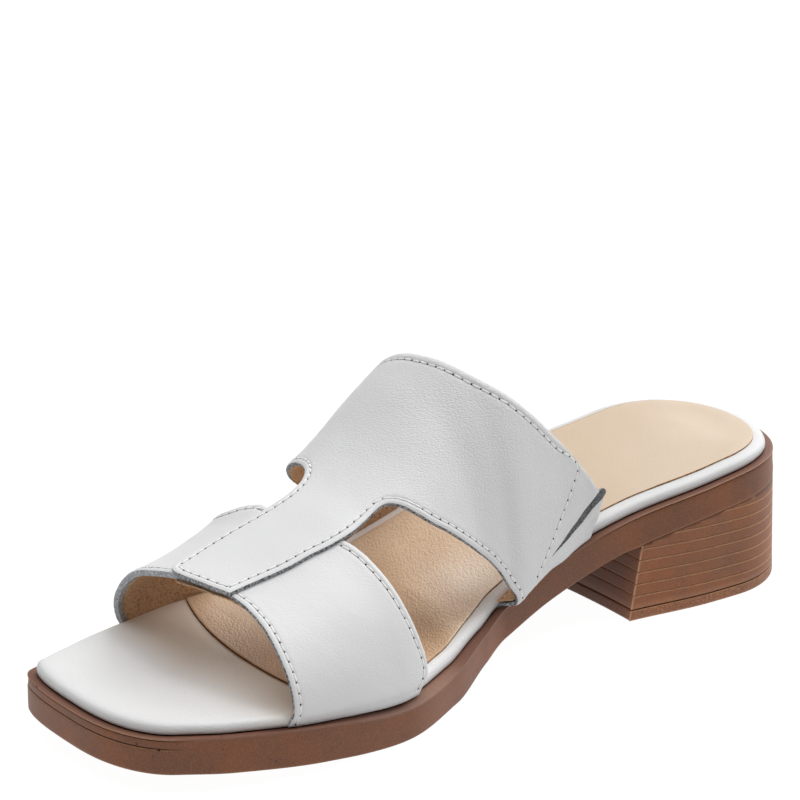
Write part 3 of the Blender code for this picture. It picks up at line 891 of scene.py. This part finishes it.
def sock_front(x):
    """Station of the front edge: a parabola across the footbed, rounded at its outer corner."""
    return (SOCK_FRONT - SOCK_FRONT_BOW * (x - SOCK_FRONT_X) ** 2
            - SOCK_CORNER * np.maximum(-34 - x, 0) ** 2)


def sock_side(x, station):
    """One side of the sock from the heel to its front edge, evenly spaced."""
    beyond = station - sock_front(x)
    end = int(np.argmax(beyond > 0))
    share = beyond[end - 1] / (beyond[end - 1] - beyond[end])
    tip = x[end - 1] + share * (x[end] - x[end - 1])
    x, station = np.append(x[:end], tip), np.append(station[:end], sock_front(tip))
    return even(np.column_stack([x, station]), SOCK_ROWS)


outer_side = (OUTLINE[:, 0] < side_x(STATION, "lateral") + 12) & (STATION > 60)
cut_back = 0.9 * ramp(STATION, 70, 120) - 2.8 * ramp(STATION, 160, 182)
x, station = ring(SOCK_INSET + outer_side * cut_back)
medial = sock_side(x[:half], station[:half])
lateral = sock_side(np.append(x[0], x[:half:-1]), np.append(station[0], station[:half:-1]))
across = np.linspace(0, 1, SOCK_COLUMNS)[None, :, None]
flat = medial[:, None] * (1 - across) + lateral[:, None] * across
bend = ramp(np.linspace(0, 1, SOCK_ROWS), 0.72, 1.0)[:, None]
flat[..., 1] += bend * (sock_front(flat[-1, :, 0]) - flat[-1, :, 1])[None]
x, station = np.moveaxis(flat, -1, 0)
sock_points = place(x, station, ledge(station) + bed_height(x, station) + SOCK_LIFT)
crease = 0.07 * span(station, 118, 140, 178, 196)
stretched = sock_points * np.array([0.35, 1.0, 1.0])
sock_points[..., 2] += 0.05 * swell(sock_points, 18.0, 5) + crease * swell(stretched, 7.0, 6)

# %% Its wear, its painted sheen and shadow, and the finished sock
# grained also turns the sock from its darker plain heel to the paler colour in front: painted light, against
# the strong light on the heel and the shade at the waist.
grained = 0.12 + 0.88 * ramp(station, 84, 120)
# Painted highlight: a sheen on the sock at the waist.
painted_sheen = np.exp(-((x - 13) / 15) ** 2 - ((station - 121) / 12) ** 2)
# Painted shadow along the inner wing's rear edge, and under the front straps towards the toe.
along_wing = ramp(station - 0.35 * x, 129, 139) * fall(station, 168, 184)
shade = along_wing * ramp(x, -32, -18) * (0.7 + 0.7 * ramp(x, 8, 28))
shade = np.maximum(shade, 0.72 * ramp(station, 168, 184))
faces = grid_faces(SOCK_ROWS, SOCK_COLUMNS)
front_row = np.repeat([0, 2], [len(faces) - SOCK_COLUMNS + 1, SOCK_COLUMNS - 1])
sock = add_piece(
    "sock_tan", sock_points.reshape(-1, 3), faces, [sock_tan, sock_side_edge, sock_tan, burnt_edge],
    ["sock_lining"], {"grained": grained, "painted_sheen": painted_sheen, "shade": shade}, front_row,
    outwards=False, sharp=0)
wall = sock.modifiers.new("wall", "SOLIDIFY")
wall.thickness = SOCK_THICKNESS * MM
wall.offset = -1.0
wall.material_offset_rim = 1

# %% [markdown]
# ## The form of the upper
# The upper follows a superellipse arch over the foot. Its place is given by two numbers: the
# angle, from 0 at the inner foot over 90 at the crest to 180 at the outer foot, and the station.
# Below 0 the instep strap turns under towards the footbed, one millimetre for each unit. All
# leather is first drawn on this two-parameter sheet, as a pattern cutter draws on the flat, and
# then laid on the form.

# %% Arch over the foot
ARCH = [
    # station  height over ledge
    (76.0, 69.6),
    (85.0, 71.6),
    (110.0, 72.8),
    (123.0, 70.3),
    (135.0, 65.0),
    (160.0, 50.2),
    (185.0, 39.4),
    (210.0, 30.1),
    (226.0, 26.5),
]
MEDIAL_FOOT = [
    # station  inset
    (76.0, 1.6),
    (85.0, 1.4),
    (97.0, -0.2),
    (108.0, -2.2),
    (117.0, -3.2),
    (124.0, -2.0),
    (135.0, 0.8),
    (150.0, 1.4),
    (226.0, 1.4),
]
ROUNDNESS_MEDIAL, CREST_OFFSET = 2.05, -0.065
FOOT_LIFT, LATERAL_INSET, TUCK_RADIUS, WING_TUCK = 0.6, 1.4, 1.6, 0.8
DIFFERENCE = 0.06       # step for slopes, in degrees and in mm


def foot_x(station, side):
    """Foot of the arch on one side: the sole's edge moved inwards, square to it."""
    slope = side_x(station + 0.5, side) - side_x(station - 0.5, side)
    inset = smooth(MEDIAL_FOOT, 1, station) if side == "medial" else LATERAL_INSET
    return side_x(station, side) + (-1 if side == "medial" else 1) * inset * np.sqrt(1 + slope ** 2)


def lateral_power(station):
    """Exponent of the outer half: squarer at the instep than at the toes."""
    return 2.4 - 0.25 * ramp(station, 130, 175)


def form(angle, station):
    """Point of the form: superellipse across, crest height along, turned under below 0."""
    turn = np.radians(np.clip(angle, 0, 180))
    medial, lateral = foot_x(station, "medial"), foot_x(station, "lateral")
    crest = (medial + lateral) / 2 + CREST_OFFSET * (medial - lateral) / 2
    inner = np.cos(turn) > 0
    power = np.where(inner, ROUNDNESS_MEDIAL, lateral_power(station))
    reach = np.where(inner, medial - crest, crest - lateral)
    x = crest + reach * np.sign(np.cos(turn)) * np.abs(np.cos(turn)) ** (2 / power)
    tuck = span(station, 96, 104, 126, 140)      # 1 where the instep strap turns under the footbed
    low = FOOT_LIFT + tuck * (TUCK_RADIUS - 0.3) * fall(angle, 0, 14)
    height = low + (smooth(ARCH, 1, station) - low) * np.abs(np.sin(turn)) ** (2 / power)
    x = x - WING_TUCK * fall(angle, 0, 5.5) * ramp(station, 150, 165)
    below = np.maximum(-angle, 0)
    bent = np.minimum(below / TUCK_RADIUS, math.pi / 2)
    x = x - tuck * (TUCK_RADIUS * (1 - np.cos(bent)) + np.maximum(below - TUCK_RADIUS * math.pi / 2, 0))
    height = height - tuck * TUCK_RADIUS * np.sin(bent) - (1 - tuck) * below
    return place(x, station, ledge(station) + height - np.maximum(angle - 180, 0))


def slopes(angle, station):
    """Unit normal of the form, and its change with angle and with station."""
    e = DIFFERENCE
    by_angle = (form(angle + e, station) - form(angle - e, station)) / (2 * e)
    by_station = (form(angle, station + e) - form(angle, station - e)) / (2 * e)
    return unit(np.cross(by_angle, by_station)), by_angle, by_station


def beside(path, distance):
    """The path moved sideways on the form, to its right seen from outside, in small steps."""
    path = np.array(path, dtype=float)
    steps = max(1, int(math.ceil(abs(distance) / 0.5)))
    for _ in range(steps):
        normal, by_angle, by_station = slopes(*path.T)
        across = np.cross(np.gradient(form(*path.T), axis=0), normal)
        across *= (distance / steps / np.linalg.norm(across, axis=1))[:, None]
        aa, as_, ss, a, s = [(p * q).sum(axis=1) for p, q in (
            (by_angle, by_angle), (by_angle, by_station), (by_station, by_station),
            (by_angle, across), (by_station, across))]
        size = aa * ss - as_ ** 2
        path += np.column_stack([(a * ss - s * as_) / size, (s * aa - a * as_) / size])
    return path


def flowing(points, spacing=0.7):
    """Smooth curve through (angle, station) points, resampled evenly as it lies on the form.

    Its slope at each point is that of the parabola through the point and its neighbours.
    """
    points = np.array(points, dtype=float)
    if len(points) > 2:
        chord = np.append(0.0, np.cumsum(np.sqrt(np.linalg.norm(np.diff(points, axis=0), axis=1))))
        fine = np.linspace(0, chord[-1], 40 * len(points))
        points = np.column_stack([hermite(chord, y, np.gradient(y, chord), fine) for y in points.T])
    else:
        points = even(points, 60)
    length = distances(form(*points.T))
    count = max(2, int(round(length[-1] / spacing)) + 1)
    return sample(points, length, np.linspace(0, length[-1], count))


# %% [markdown]
# ## The cut pattern
# The upper has three leathers. Two wings hold the forefoot. A third piece is both the centre panel
# and the instep strap: it laps over the wings and carries the two windows on its sides. Each edge
# is a short list of (angle, station) points in the order in which a knife would follow it,
# clockwise seen from outside, so the leather is always to the right of the knife.

# %% Edges of the three leathers
WINDOW_MEDIAL = [(-7.8, 124.4), (-4.6, 121.6), (-1.8, 119.8), (0.6, 119.8), (4.2, 122.1), (10.3, 125.6),
                 (16, 129.6), (21.3, 134.0), (28.2, 139.5), (36.3, 145.1), (43.7, 149.8), (52.1, 154.0),
                 (57.3, 156.3), (62.5, 159.6), (64.3, 162.3), (65.1, 168.7), (65.3, 175), (66.2, 182.1),
                 (67.5, 188.7), (68.4, 195.4), (69.8, 201.6), (71.1, 207.9), (71.6, 214.6)]
PANEL_FRONT = [(71.6, 214.6), (79.4, 216.8), (86.3, 217.9), (92.8, 218.6), (99, 218.2), (103.3, 216.6)]
WINDOW_LATERAL = [(103.3, 216.6), (103.0, 205.2), (101.2, 196.5), (99.0, 189.5), (97.4, 182.5),
                  (96.8, 176.5), (98.0, 170.5), (101.5, 166.0), (106.5, 163.4), (113, 161.6), (120, 160.0),
                  (132, 156.8), (146, 151), (158, 143.0), (168, 134.6), (175, 128.6), (180.4, 125.4)]
COLLAR = [(180.4, 89.0), (175, 89.6), (168, 95.6), (158, 105.4), (146, 114.6), (132, 121.8),
          (118, 125.2), (104, 125.9), (90, 125.3), (75, 122.9), (63, 119.2), (50, 112.6), (36, 103.6),
          (24, 94.4), (14, 86.8), (10.0, 84.2)]
SLIT_UPPER = [(10.0, 84.2), (8.8, 86.7), (7.7, 89.9), (6.5, 92.9), (5.4, 96.4), (3.9, 99.8), (2.2, 104.8)]
SLIT_LOWER = [(2.2, 104.8), (2.7, 101.5), (3.6, 97.6), (4.4, 94.2), (5.2, 90.3), (6.5, 87.1), (7.9, 82.5)]
TAB_END = [(7.9, 82.5), (5.6, 83.6), (3.5, 84.5), (2.4, 85.6), (1.3, 86.5), (-0.4, 87.2)]
TAB_FOOT = [(-0.4, 87.2), (-0.45, 93), (-0.8, 97.5), (-2.2, 101.5), (-4.6, 105.0), (-6.3, 109),
            (-7.0, 114), (-7.6, 119.4), (-7.8, 124.4)]
WING_MEDIAL_EDGES = {
    "front": [(-0.4, 216.2), (6, 214.9), (14, 214.4), (24, 214.1), (36, 213.8), (50, 213.2), (63, 213.2),
              (72, 213.9), (81, 215.3)],
    "lap": [(81, 215.3), (79, 200), (76, 188), (74.5, 180.4)],
    "rear": [(74.5, 180.4), (64.5, 177.1), (57.6, 175.6), (49.5, 174.3), (40.9, 172.9), (32.7, 171.7),
             (24.6, 170.4), (17.8, 169.2), (11.8, 168.0), (6, 167.6), (1.5, 169.7), (-0.4, 171.2)],
    "foot": [(-0.4, 171.2), (-0.4, 216.2)],
}
WING_LATERAL_EDGES = {
    "front": [(90, 216.3), (97, 217.1), (104, 217.8), (118, 218.8), (132, 218.9), (146, 218.6), (158, 218.2),
              (168, 217.7), (175, 216.7), (180.4, 214.6)],
    "foot": [(180.4, 214.6), (180.4, 179)],
    "rear": [(180.4, 179), (175, 176.4), (168, 175.6), (158, 177.4), (146, 180.8), (132, 184.2),
             (120, 185.6), (113.7, 184.3), (107.1, 182.9), (101.3, 182.1), (94, 181.7), (88, 181.6)],
    "lap": [(88, 181.6), (88, 199), (90, 216.3)],
}
STRAP_LOOP = [WINDOW_MEDIAL, PANEL_FRONT, WINDOW_LATERAL, [(180.4, 125.4), (180.4, 89.0)], COLLAR,
              SLIT_UPPER, SLIT_LOWER, TAB_END, TAB_FOOT]


def closed_loop(edges, spacing=0.7):
    """The edges joined to one loop, without the doubled corners."""
    return np.vstack([flowing(edge, spacing)[:-1] for edge in edges])


strap_loop = closed_loop(STRAP_LOOP)
print("instep strap and panel: knife path of", len(strap_loop), "points")

# %% [markdown]
# ## Stitch lines
# A sewing machine follows the edge at a steady distance, so each stitch line is an edge moved
# inwards. The holes are 3 mm apart. The line along the collar leaves it near the slit and runs
# down to the foot, where it holds the elastic.

# %% Where the needle goes
STITCH = 3.05           # mm from hole to hole
SEAM_SMOOTHING = 6      # rounds of averaging, as a machine can't turn a sharp corner


def seam(edge, inset, start=0.0, stop=-0.0):
    """Needle holes along an edge, moved into the leather by inset; start and stop are mm.

    A stop of 0 or less is counted back from the edge's end.
    """
    path = beside(flowing(edge, 0.5), inset)
    for _ in range(SEAM_SMOOTHING):
        path[1:-1] = (path[:-2] + 2 * path[1:-1] + path[2:]) / 4
    length = distances(form(*path.T))
    stop = stop if stop > 0 else length[-1] + stop
    return sample(path, length, np.linspace(start, stop, int(round((stop - start) / STITCH)) + 1))


GORE = [(23.4, 94.9), (20.3, 92.2), (18.8, 91.9), (15.8, 94.4), (12.3, 97.9), (8.9, 101.5), (5.5, 105.2),
        (1.2, 111.2)]
collar_line = beside(flowing(COLLAR, 1.5), 2.4)
STRAP_SEAMS = [
    seam([*map(tuple, collar_line[collar_line[:, 0] > 27]), *GORE], 0.0, 1.0),
    seam(WINDOW_MEDIAL, 2.0, 11.0, -1.6),
    seam(WINDOW_MEDIAL[10:16], 2.0, 6.4, -3.4),     # sewn over once more
    seam(PANEL_FRONT, 2.0, 2.0, -2.0),
    seam(WINDOW_LATERAL, 1.9, 2.2, -1.0),
]
WING_MEDIAL_SEAMS = [seam(WING_MEDIAL_EDGES["front"], 1.8, 0.8, -7.5),
                     seam(WING_MEDIAL_EDGES["rear"], 2.1, 5.0, -1.0)]
WING_LATERAL_SEAMS = [seam(WING_LATERAL_EDGES["front"], 1.8, 10.0, -1.0),
                      seam(WING_LATERAL_EDGES["rear"], 2.0, 1.0, -7.0)]
print("needle holes:", sum(map(len, STRAP_SEAMS + WING_MEDIAL_SEAMS + WING_LATERAL_SEAMS)))

# %% [markdown]
# ## Laying leather on the form
# A sheet of leather is cut along its loop, then laid on the form. The loop and rows beside it give
# points close together near the edge, where the leather is rounded, puckered by the stitches and
# raw. A coarser grid fills the middle. A constrained Delaunay triangulation joins them without
# crossing the loop, which handles slits and reentrant corners that a plain grid can't. The back of
# the sheet is the same triangles, moved down along the normal, and rows of quads between the two
# make the felted edge.

# %% Points and triangles of a sheet
ROWS = (0.2, 0.5, 0.85, 1.15, 1.4, 1.65, 1.9, 2.15, 2.5, 3.0, 3.8)      # mm from the edge
ROW_SHARE, ROW_GAP = 0.86, 0.16     # least share of its row's distance, least mm between rows


def inside(points, loop):
    """True for points within the loop: an odd number of edges crosses the ray to the side."""
    a, b = loop, np.roll(loop, -1, axis=0)
    y = points[:, 1][:, None]
    spans = (a[:, 1] > y) != (b[:, 1] > y)
    rise = np.where(b[:, 1] == a[:, 1], 1.0, b[:, 1] - a[:, 1])
    cross = a[:, 0] + (y - a[:, 1]) / rise * (b[:, 0] - a[:, 0])
    return (spans & (points[:, 0][:, None] < cross)).sum(axis=1) % 2 == 1


def edge_rows(loop, loop_laid, rows):
    """Points in rows beside the loop, without those that crowd a corner or another row."""
    found, before = [], None
    closed = np.vstack([loop[-3:], loop, loop[:3]])
    for distance in rows:
        row = beside(closed, distance)[3:-3]
        laid = form(*row.T)
        fits = inside(row, loop)
        fits[fits] = nearest(laid[fits], loop_laid) > ROW_SHARE * distance
        row, laid = row[fits], laid[fits]
        if before is not None:
            apart = nearest(laid, before) > ROW_GAP
            row, laid = row[apart], laid[apart]
        before = laid if before is None else np.vstack([before, laid])
        found.append(row)
    return found


def cut_sheet(loop, rows, middle, seams):
    """Pattern points, triangles, and the numbers of the points on the loop itself."""
    loop_laid = form(*loop.T)
    low, high = loop.min(axis=0), loop.max(axis=0)
    a, s = np.meshgrid(np.arange(low[0], high[0], middle), np.arange(low[1], high[1], middle))
    a = a + middle / 2 * (np.arange(len(a)) % 2)[:, None]
    fill = np.column_stack([a.ravel(), s.ravel()])
    fill = fill[inside(fill, loop)]
    fill = fill[nearest(form(*fill.T), loop_laid) > rows[-1] + 0.5 * middle]
    extra = fill[:0]
    if len(seams):
        extra = np.vstack([beside(flowing(s, 0.6), away) for s in seams for away in (-0.35, 0.0, 0.35)])
        extra = extra[inside(extra, loop)]
        extra = extra[nearest(form(*extra.T), loop_laid) > rows[-1] + 0.25]
    if len(extra):
        fill = fill[nearest(form(*fill.T), form(*extra.T)) > 0.6 * middle]
    pattern = np.vstack([loop, *edge_rows(loop, loop_laid, rows), extra, fill])
    made = delaunay_2d_cdt([Vector(p) for p in pattern], [], [list(range(len(loop)))], 1, 1e-5)
    triangles = np.array([f for f in made[2] if len(f) == 3])
    pattern = np.array([v[:] for v in made[0]], dtype=float)
    border = np.full(len(loop), -1)
    for new, olds in enumerate(made[3]):
        for old in olds:
            if old < len(loop):
                border[old] = new
    return pattern, triangles, border


# %% Lay it on the form
UNEVENNESS, PUFF, PRESSED_LINE, HOLE_DIMPLE = 0.12, 0.10, 0.20, 0.16     # mm
RIM_SHARES = (0.12, 0.35, 0.65, 0.88)       # rows of the cut edge between face and back


def waves(points):
    """Slow unevenness of the leather's face in mm."""
    return UNEVENNESS * swell(points, 22.0, 11)


def bump(distance, middle, width):
    """Bell curve: 1 where the distance is middle, fading over width."""
    return np.exp(-((distance - middle) / width) ** 2)


def lay_sheet(name, loop, finishes, lift, thickness, seams=(), replaces=(), rows=ROWS, middle=1.3,
              fray=0.05, edge_drop=0.16):
    """Leather cut along the loop and laid on the form, its outer face lift mm over it."""
    pattern, triangles, border = cut_sheet(loop, rows, middle, seams)
    base, normal = form(*pattern.T), slopes(*pattern.T)[0]
    edge = nearest(base, base[border])
    rise = lift(*pattern.T) + waves(base) + 0.3 * UNEVENNESS * swell(base, 7.0, 12)
    rise -= edge_drop * np.exp(-(edge / 0.3) ** 1.3)
    stitch = np.full(len(base), FAR_FROM_STITCHES)
    if len(seams):
        stitch = nearest(base, np.vstack([form(*flowing(s, 0.35).T) for s in seams]))
        hole = nearest(base, np.vstack([form(*s.T) for s in seams]))
        rise += PUFF * bump(edge, 1.05, 0.65) - PRESSED_LINE * bump(stitch, 0, 0.42)
        rise += 0.06 * bump(stitch, 1.2, 0.6) - HOLE_DIMPLE * bump(hole, 0, 0.45)
    outer = base + normal * rise[:, None]
    inner = outer - normal * thickness
    ahead = np.roll(base[border], -1, axis=0) - np.roll(base[border], 1, axis=0)
    out = unit(np.cross(normal[border], ahead))
    rim = []
    for share in RIM_SHARES:
        rough = 0.07 * math.sin(math.pi * share) + fray * rng.normal(size=len(border))
        rim.append(outer[border] + (inner[border] - outer[border]) * share + out * rough[:, None])
    points = np.vstack([outer, inner] + rim)
    corner = np.cross(*(outer[triangles[:, k]] - outer[triangles[:, 0]] for k in (1, 2)))
    wrong = (corner * normal[triangles[:, 0]]).sum(axis=1) < 0
    triangles[wrong] = triangles[wrong][:, ::-1]
    count = len(outer)
    strips = [border, *np.arange(2 * count, len(points)).reshape(len(rim), -1), count + border]
    quads = np.vstack([np.stack([a, np.roll(a, -1), np.roll(b, -1), b], axis=-1)
                       for a, b in zip(strips[:-1], strips[1:])])
    faces = triangles.tolist() + (triangles[:, ::-1] + count).tolist() + quads.tolist()
    smoother = 0.6 * ramp(MIDDLE - points[:, 1], 150, 178) if len(seams) else 0.0
    values = {"stitch": np.append(stitch, np.full(len(points) - count, FAR_FROM_STITCHES)),
              "grained": np.ones(len(points)) - smoother}
    choice = np.repeat([0, 2, 1], [len(triangles), len(triangles), len(quads)])
    add_piece(name, points, faces, finishes, replaces, values, choice,
              outwards=False, sharp=45.0)


# %% The three leathers
LEATHER, STRAP_LEATHER, FAR_LEATHER = 1.15, 1.35, 1.75      # mm: inner wing, strap, outer wing


def strap_lift(angle, station):
    """The panel climbs onto the wings in front of the windows; the tab's end is crumpled."""
    tab = fall(station, 86, 91) * fall(angle, 4, 6.5)
    lip = fall(angle, -4, 1) * ramp(station, 112, 119)
    crumple = 0.16 * tab * np.sin(2.6 * angle + 1.3 * station)
    return 0.05 + 1.35 * ramp(station, 165, 181) + 0.7 * lip + crumple


def wing_lift(angle, station):
    """The inner wing lies straight on the form."""
    return 0.0 * angle


def far_wing_lift(angle, station):
    """The outer wing's front edge and its rear edge beside the panel stand away a little."""
    front = 1.1 * span(angle, 108, 135, 160, 178) * ramp(station, 198, 219)
    return front + 1.3 * span(angle, 97.5, 103, 120, 140) * fall(station, 184, 193)


lay_sheet("leather_panel_and_strap", strap_loop, [leather_white, raw_edge, flesh_side], strap_lift,
          STRAP_LEATHER, STRAP_SEAMS, ["upper"])
lay_sheet("leather_wing_medial", closed_loop(WING_MEDIAL_EDGES.values()),
          [leather_white, raw_edge, flesh_side], wing_lift, LEATHER, WING_MEDIAL_SEAMS)
lay_sheet("leather_wing_lateral", closed_loop(WING_LATERAL_EDGES.values()),
          [leather_white, flesh_side, flesh_side], far_wing_lift, FAR_LEATHER, WING_LATERAL_SEAMS)

# %% [markdown]
# ## The lining
# The lining is thin tan leather glued behind the white. It is cut a hair smaller than the
# leather, so its edge sits just behind the grey one. One piece lines the front straps from foot to
# foot, another the instep strap and the free part of the panel.

# %% Lining
LINING, LINING_INSET = 0.45, 0.25


def lay_lining(name, edges, lift):
    """Thin tan sheet, cut a quarter of a millimetre inside its edges."""
    loop = beside(closed_loop(edges, 1.0), LINING_INSET)
    lay_sheet(name, loop, [lining_tan, lining_edge, lining_tan], lift, LINING,
              rows=(0.5, 1.5, 3.0), middle=1.8, fray=0.04, edge_drop=0.0)


def strap_lining_lift(angle, station):
    """Just inside the white leather."""
    return -STRAP_LEATHER - 0.02 + 0.14 * ramp(station, 160, 172)


def front_lining_lift(angle, station):
    """Just inside the wings, and a little below the other lining where they overlap."""
    thickness = LEATHER + (FAR_LEATHER - LEATHER) * ramp(angle, 84, 100)
    return far_wing_lift(angle, station) - thickness - 0.10


lay_lining("lining_strap", [
    [p for p in WINDOW_MEDIAL if p[1] < 178] + [(66.6, 184.0)], [(66.6, 184.0), (82, 186.5), (98.2, 185.5)],
    [(98.2, 185.5)] + [p for p in WINDOW_LATERAL if p[1] < 180], [(180.4, 125.4), (180.4, 89.0)],
    COLLAR[:-1] + [(10.5, 84.6)], [(10.5, 84.6), (4.5, 88.0), (1.0, 92), (-0.4, 98), (-2.2, 101.5)],
    TAB_FOOT[3:]], strap_lining_lift)
drawn_back = [(a, s - 1.7 - 1.5 * float(fall(a, 125, 152))) for a, s in WING_LATERAL_EDGES["front"][2:]]
lay_lining("lining_front", [
    WING_MEDIAL_EDGES["front"][:-2] + PANEL_FRONT[:-1] + drawn_back, [(180.4, 212.9), (180.4, 179)],
    WING_LATERAL_EDGES["rear"][:-1] + WING_MEDIAL_EDGES["rear"][1:], WING_MEDIAL_EDGES["foot"]],
    front_lining_lift)

# %% [markdown]
# ## The elastic in the slit
# Behind the slit sits a strip of dark elastic that lets the strap give. Only a narrow wedge of it
# shows, ending in a rounded tip at the collar.

# %% Elastic
ELASTIC, ELASTIC_DEPTH = 0.8, 0.30
ELASTIC_TIP = [(10.0, 84.2), (10.2, 82.6), (9.6, 81.6), (8.6, 81.5), (7.9, 82.5)]


def elastic_lift(angle, station):
    """A little below the leather's face."""
    return -ELASTIC_DEPTH + 0.0 * angle


lay_sheet("elastic_gore", closed_loop([SLIT_LOWER[::-1], SLIT_UPPER[::-1], ELASTIC_TIP], 0.5),
          [elastic_grey, flesh_side, elastic_grey], elastic_lift, ELASTIC,
          rows=(0.3,), middle=0.8, fray=0.02, edge_drop=0.05)

# %% [markdown]
# ## Thread and needle holes
# Each stitch is a short bean of white thread that dips into the leather at both ends. Each needle
# hole is a small dark bean sunk into the leather, painted shade for the hollow of the hole. One bean
# is worked out as a grid of 7 by 8 points and then copied to every stitch at once by array
# arithmetic, which keeps hundreds of stitches light.

# %% One bean, and its copies
BEAN_ROWS, BEAN_COLUMNS = 7, 8
thread_finish, tree, shader = new_finish("thread_white", BRIGHT_WHITE, 0.7, Specular_IOR_Level=0.3)
emboss(tree, shader, noise(tree, place_pattern(tree), 2600.0), 0.08)
# The holes' near-black finish is painted shade for the hollow of each needle hole.
hole_shade_finish = new_finish("needle_hole_shade", (0.05, 0.036, 0.028), 0.9, Specular_IOR_Level=0.1)[0]


def bean(length, width, height):
    """Closed grid of points of one stitch: an ellipse whose size swells along its length."""
    t = np.linspace(0, math.pi, BEAN_ROWS)[:, None]
    around = np.linspace(0, 2 * math.pi, BEAN_COLUMNS + 1)[None, :-1]
    size = np.sin(t) ** 0.6
    return np.stack([-np.cos(t) * length / 2 + 0 * around, size * np.cos(around) * width / 2,
                     size * np.sin(around) * height / 2 - 0.10 * np.cos(t) ** 4], axis=-1)


def copies(shape, line, ahead, lift, sink, long=1.0, wide=1.0, tilt=0.0):
    """The shape at each point of the line, stretched, tilted and sunk into the leather (mm)."""
    spot, normal = form(*line.T), slopes(*line.T)[0]
    ahead = unit(ahead)
    left = np.cross(normal, ahead)
    ahead, left = ahead + left * tilt, left - ahead * tilt
    over = (lift(*line.T) + waves(spot))[:, None, None, None] - sink
    body = (shape[..., :1] * long * ahead[:, None, None] + shape[..., 1:2] * wide * left[:, None, None]
            + (shape[..., 2:] + over) * normal[:, None, None])
    return (spot[:, None, None] + body).reshape(-1, BEAN_ROWS * BEAN_COLUMNS, 3)


# %% Sew
THREAD, HOLE = bean(1.0, 0.62, 0.46), bean(0.62, 0.52, 0.3)
THREAD_SHARE, THREAD_SINK, HOLE_SINK = 0.86, 0.02, 0.17


def sew(name, seams, lift):
    """Threads and holes along the seams."""
    threads, holes = [], []
    for line in seams:
        step = form(*line[1:].T) - form(*line[:-1].T)
        long = THREAD_SHARE * np.linalg.norm(step, axis=1)[:, None, None, None]
        tilt = rng.normal(0, 0.05, len(step))[:, None]
        wide = rng.uniform(0.6, 1.15, len(line))[:, None, None, None]
        middle, ahead = (line[1:] + line[:-1]) / 2, np.gradient(form(*line.T), axis=0)
        threads.append(copies(THREAD, middle, step, lift, THREAD_SINK, long, tilt=tilt))
        holes.append(copies(HOLE, line, ahead, lift, HOLE_SINK, wide, wide))
    one = grid_faces(BEAN_ROWS, BEAN_COLUMNS, wrap=True)
    for kind, made, finish in (("thread", threads, thread_finish), ("holes", holes, hole_shade_finish)):
        made = np.vstack(made)
        faces = one[None] + made.shape[1] * np.arange(len(made))[:, None, None]
        add_piece(f"{kind}_{name}", made.reshape(-1, 3), faces.reshape(-1, 4), [finish], sharp=0)


sew("strap", STRAP_SEAMS, strap_lift)
sew("wing_medial", WING_MEDIAL_SEAMS, wing_lift)
sew("wing_lateral", WING_LATERAL_SEAMS, far_wing_lift)

# %% [markdown]
# ## Floor, light and camera
# A plain pale floor and large soft lights, as in a product studio. The floor glows a little by
# itself, so it stays an even pale ground. Each softbox is a sun lamp with a wide angle, which
# lights every part of the shoe alike, as a large box far away does. The camera looks at the inner
# side of the sandal from in front and a little above, with a long lens.

# %% Floor and world
FLOOR_REACH, WORLD_STRENGTH = 6.0, 0.03
floor_mesh = bpy.data.meshes.new("floor")
corners = [(a * FLOOR_REACH, b * FLOOR_REACH, 0) for a, b in ((-1, -1), (1, -1), (1, 1), (-1, 1))]
floor_mesh.from_pydata(corners, [], [(0, 1, 2, 3)])
floor_mesh.materials.append(new_finish(
    "floor_pale", (0.08, 0.08, 0.08), 0.9, Specular_IOR_Level=0.0,
    Emission_Color=(1.0, 1.0, 1.0, 1.0), Emission_Strength=0.975)[0])
add_object("floor", floor_mesh)

world = bpy.data.worlds.new("studio")
bpy.context.scene.world = world
world.use_nodes = True
world.node_tree.nodes["Background"].inputs["Color"].default_value = (1.0, 1.0, 1.0, 1.0)
world.node_tree.nodes["Background"].inputs["Strength"].default_value = WORLD_STRENGTH

# %% Softboxes
SOFTBOXES = {
    # name: where it stands from the shoe, energy, width in degrees
    "heel_high": ((0.1, 1.0, 1.4), 1.68, 46),
    "overhead": ((0.0, 0.0, 1.0), 1.68, 60),
    "heel_outer": ((-0.6, 1.0, 0.5), 0.55, 40),
    "heel_low": ((0.0, 1.0, 0.45), 0.45, 40),
    "outer_side": ((-1.0, 0.0, 0.6), 0.47, 50),
    "front": ((0.73, -0.6, 0.45), 0.15, 50),
    "toe_outer": ((-0.7, -0.8, 0.8), 0.18, 50),
}
for name, (stand, energy, width) in SOFTBOXES.items():
    lamp = bpy.data.lights.new(name, "SUN")
    lamp.energy, lamp.angle = energy, math.radians(width)
    light = add_object(name, lamp)
    light.location = stand
    light.rotation_mode = "QUATERNION"
    light.rotation_quaternion = (-light.location).to_track_quat("-Z", "Y")

# %% Camera
RIGHT, UP = Vector((0.63483, 0.77249, 0.01563)), Vector((-0.2562, 0.19138, 0.94749))
FACING, STAND = Vector((-0.72894, 0.6055, -0.3194)), Vector((0.54084, -0.46467, 0.31503))
camera_data = bpy.data.cameras.new("camera")
camera_data.sensor_width, camera_data.lens = 36.0, 117.51
camera_data.clip_start, camera_data.clip_end = 0.05, 30.0
camera = add_object("camera", camera_data)
camera.matrix_world = Matrix.Translation(STAND) @ Matrix((RIGHT, UP, -FACING)).transposed().to_4x4()
bpy.context.scene.camera = camera
bpy.context.scene.view_settings.view_transform = "Standard"
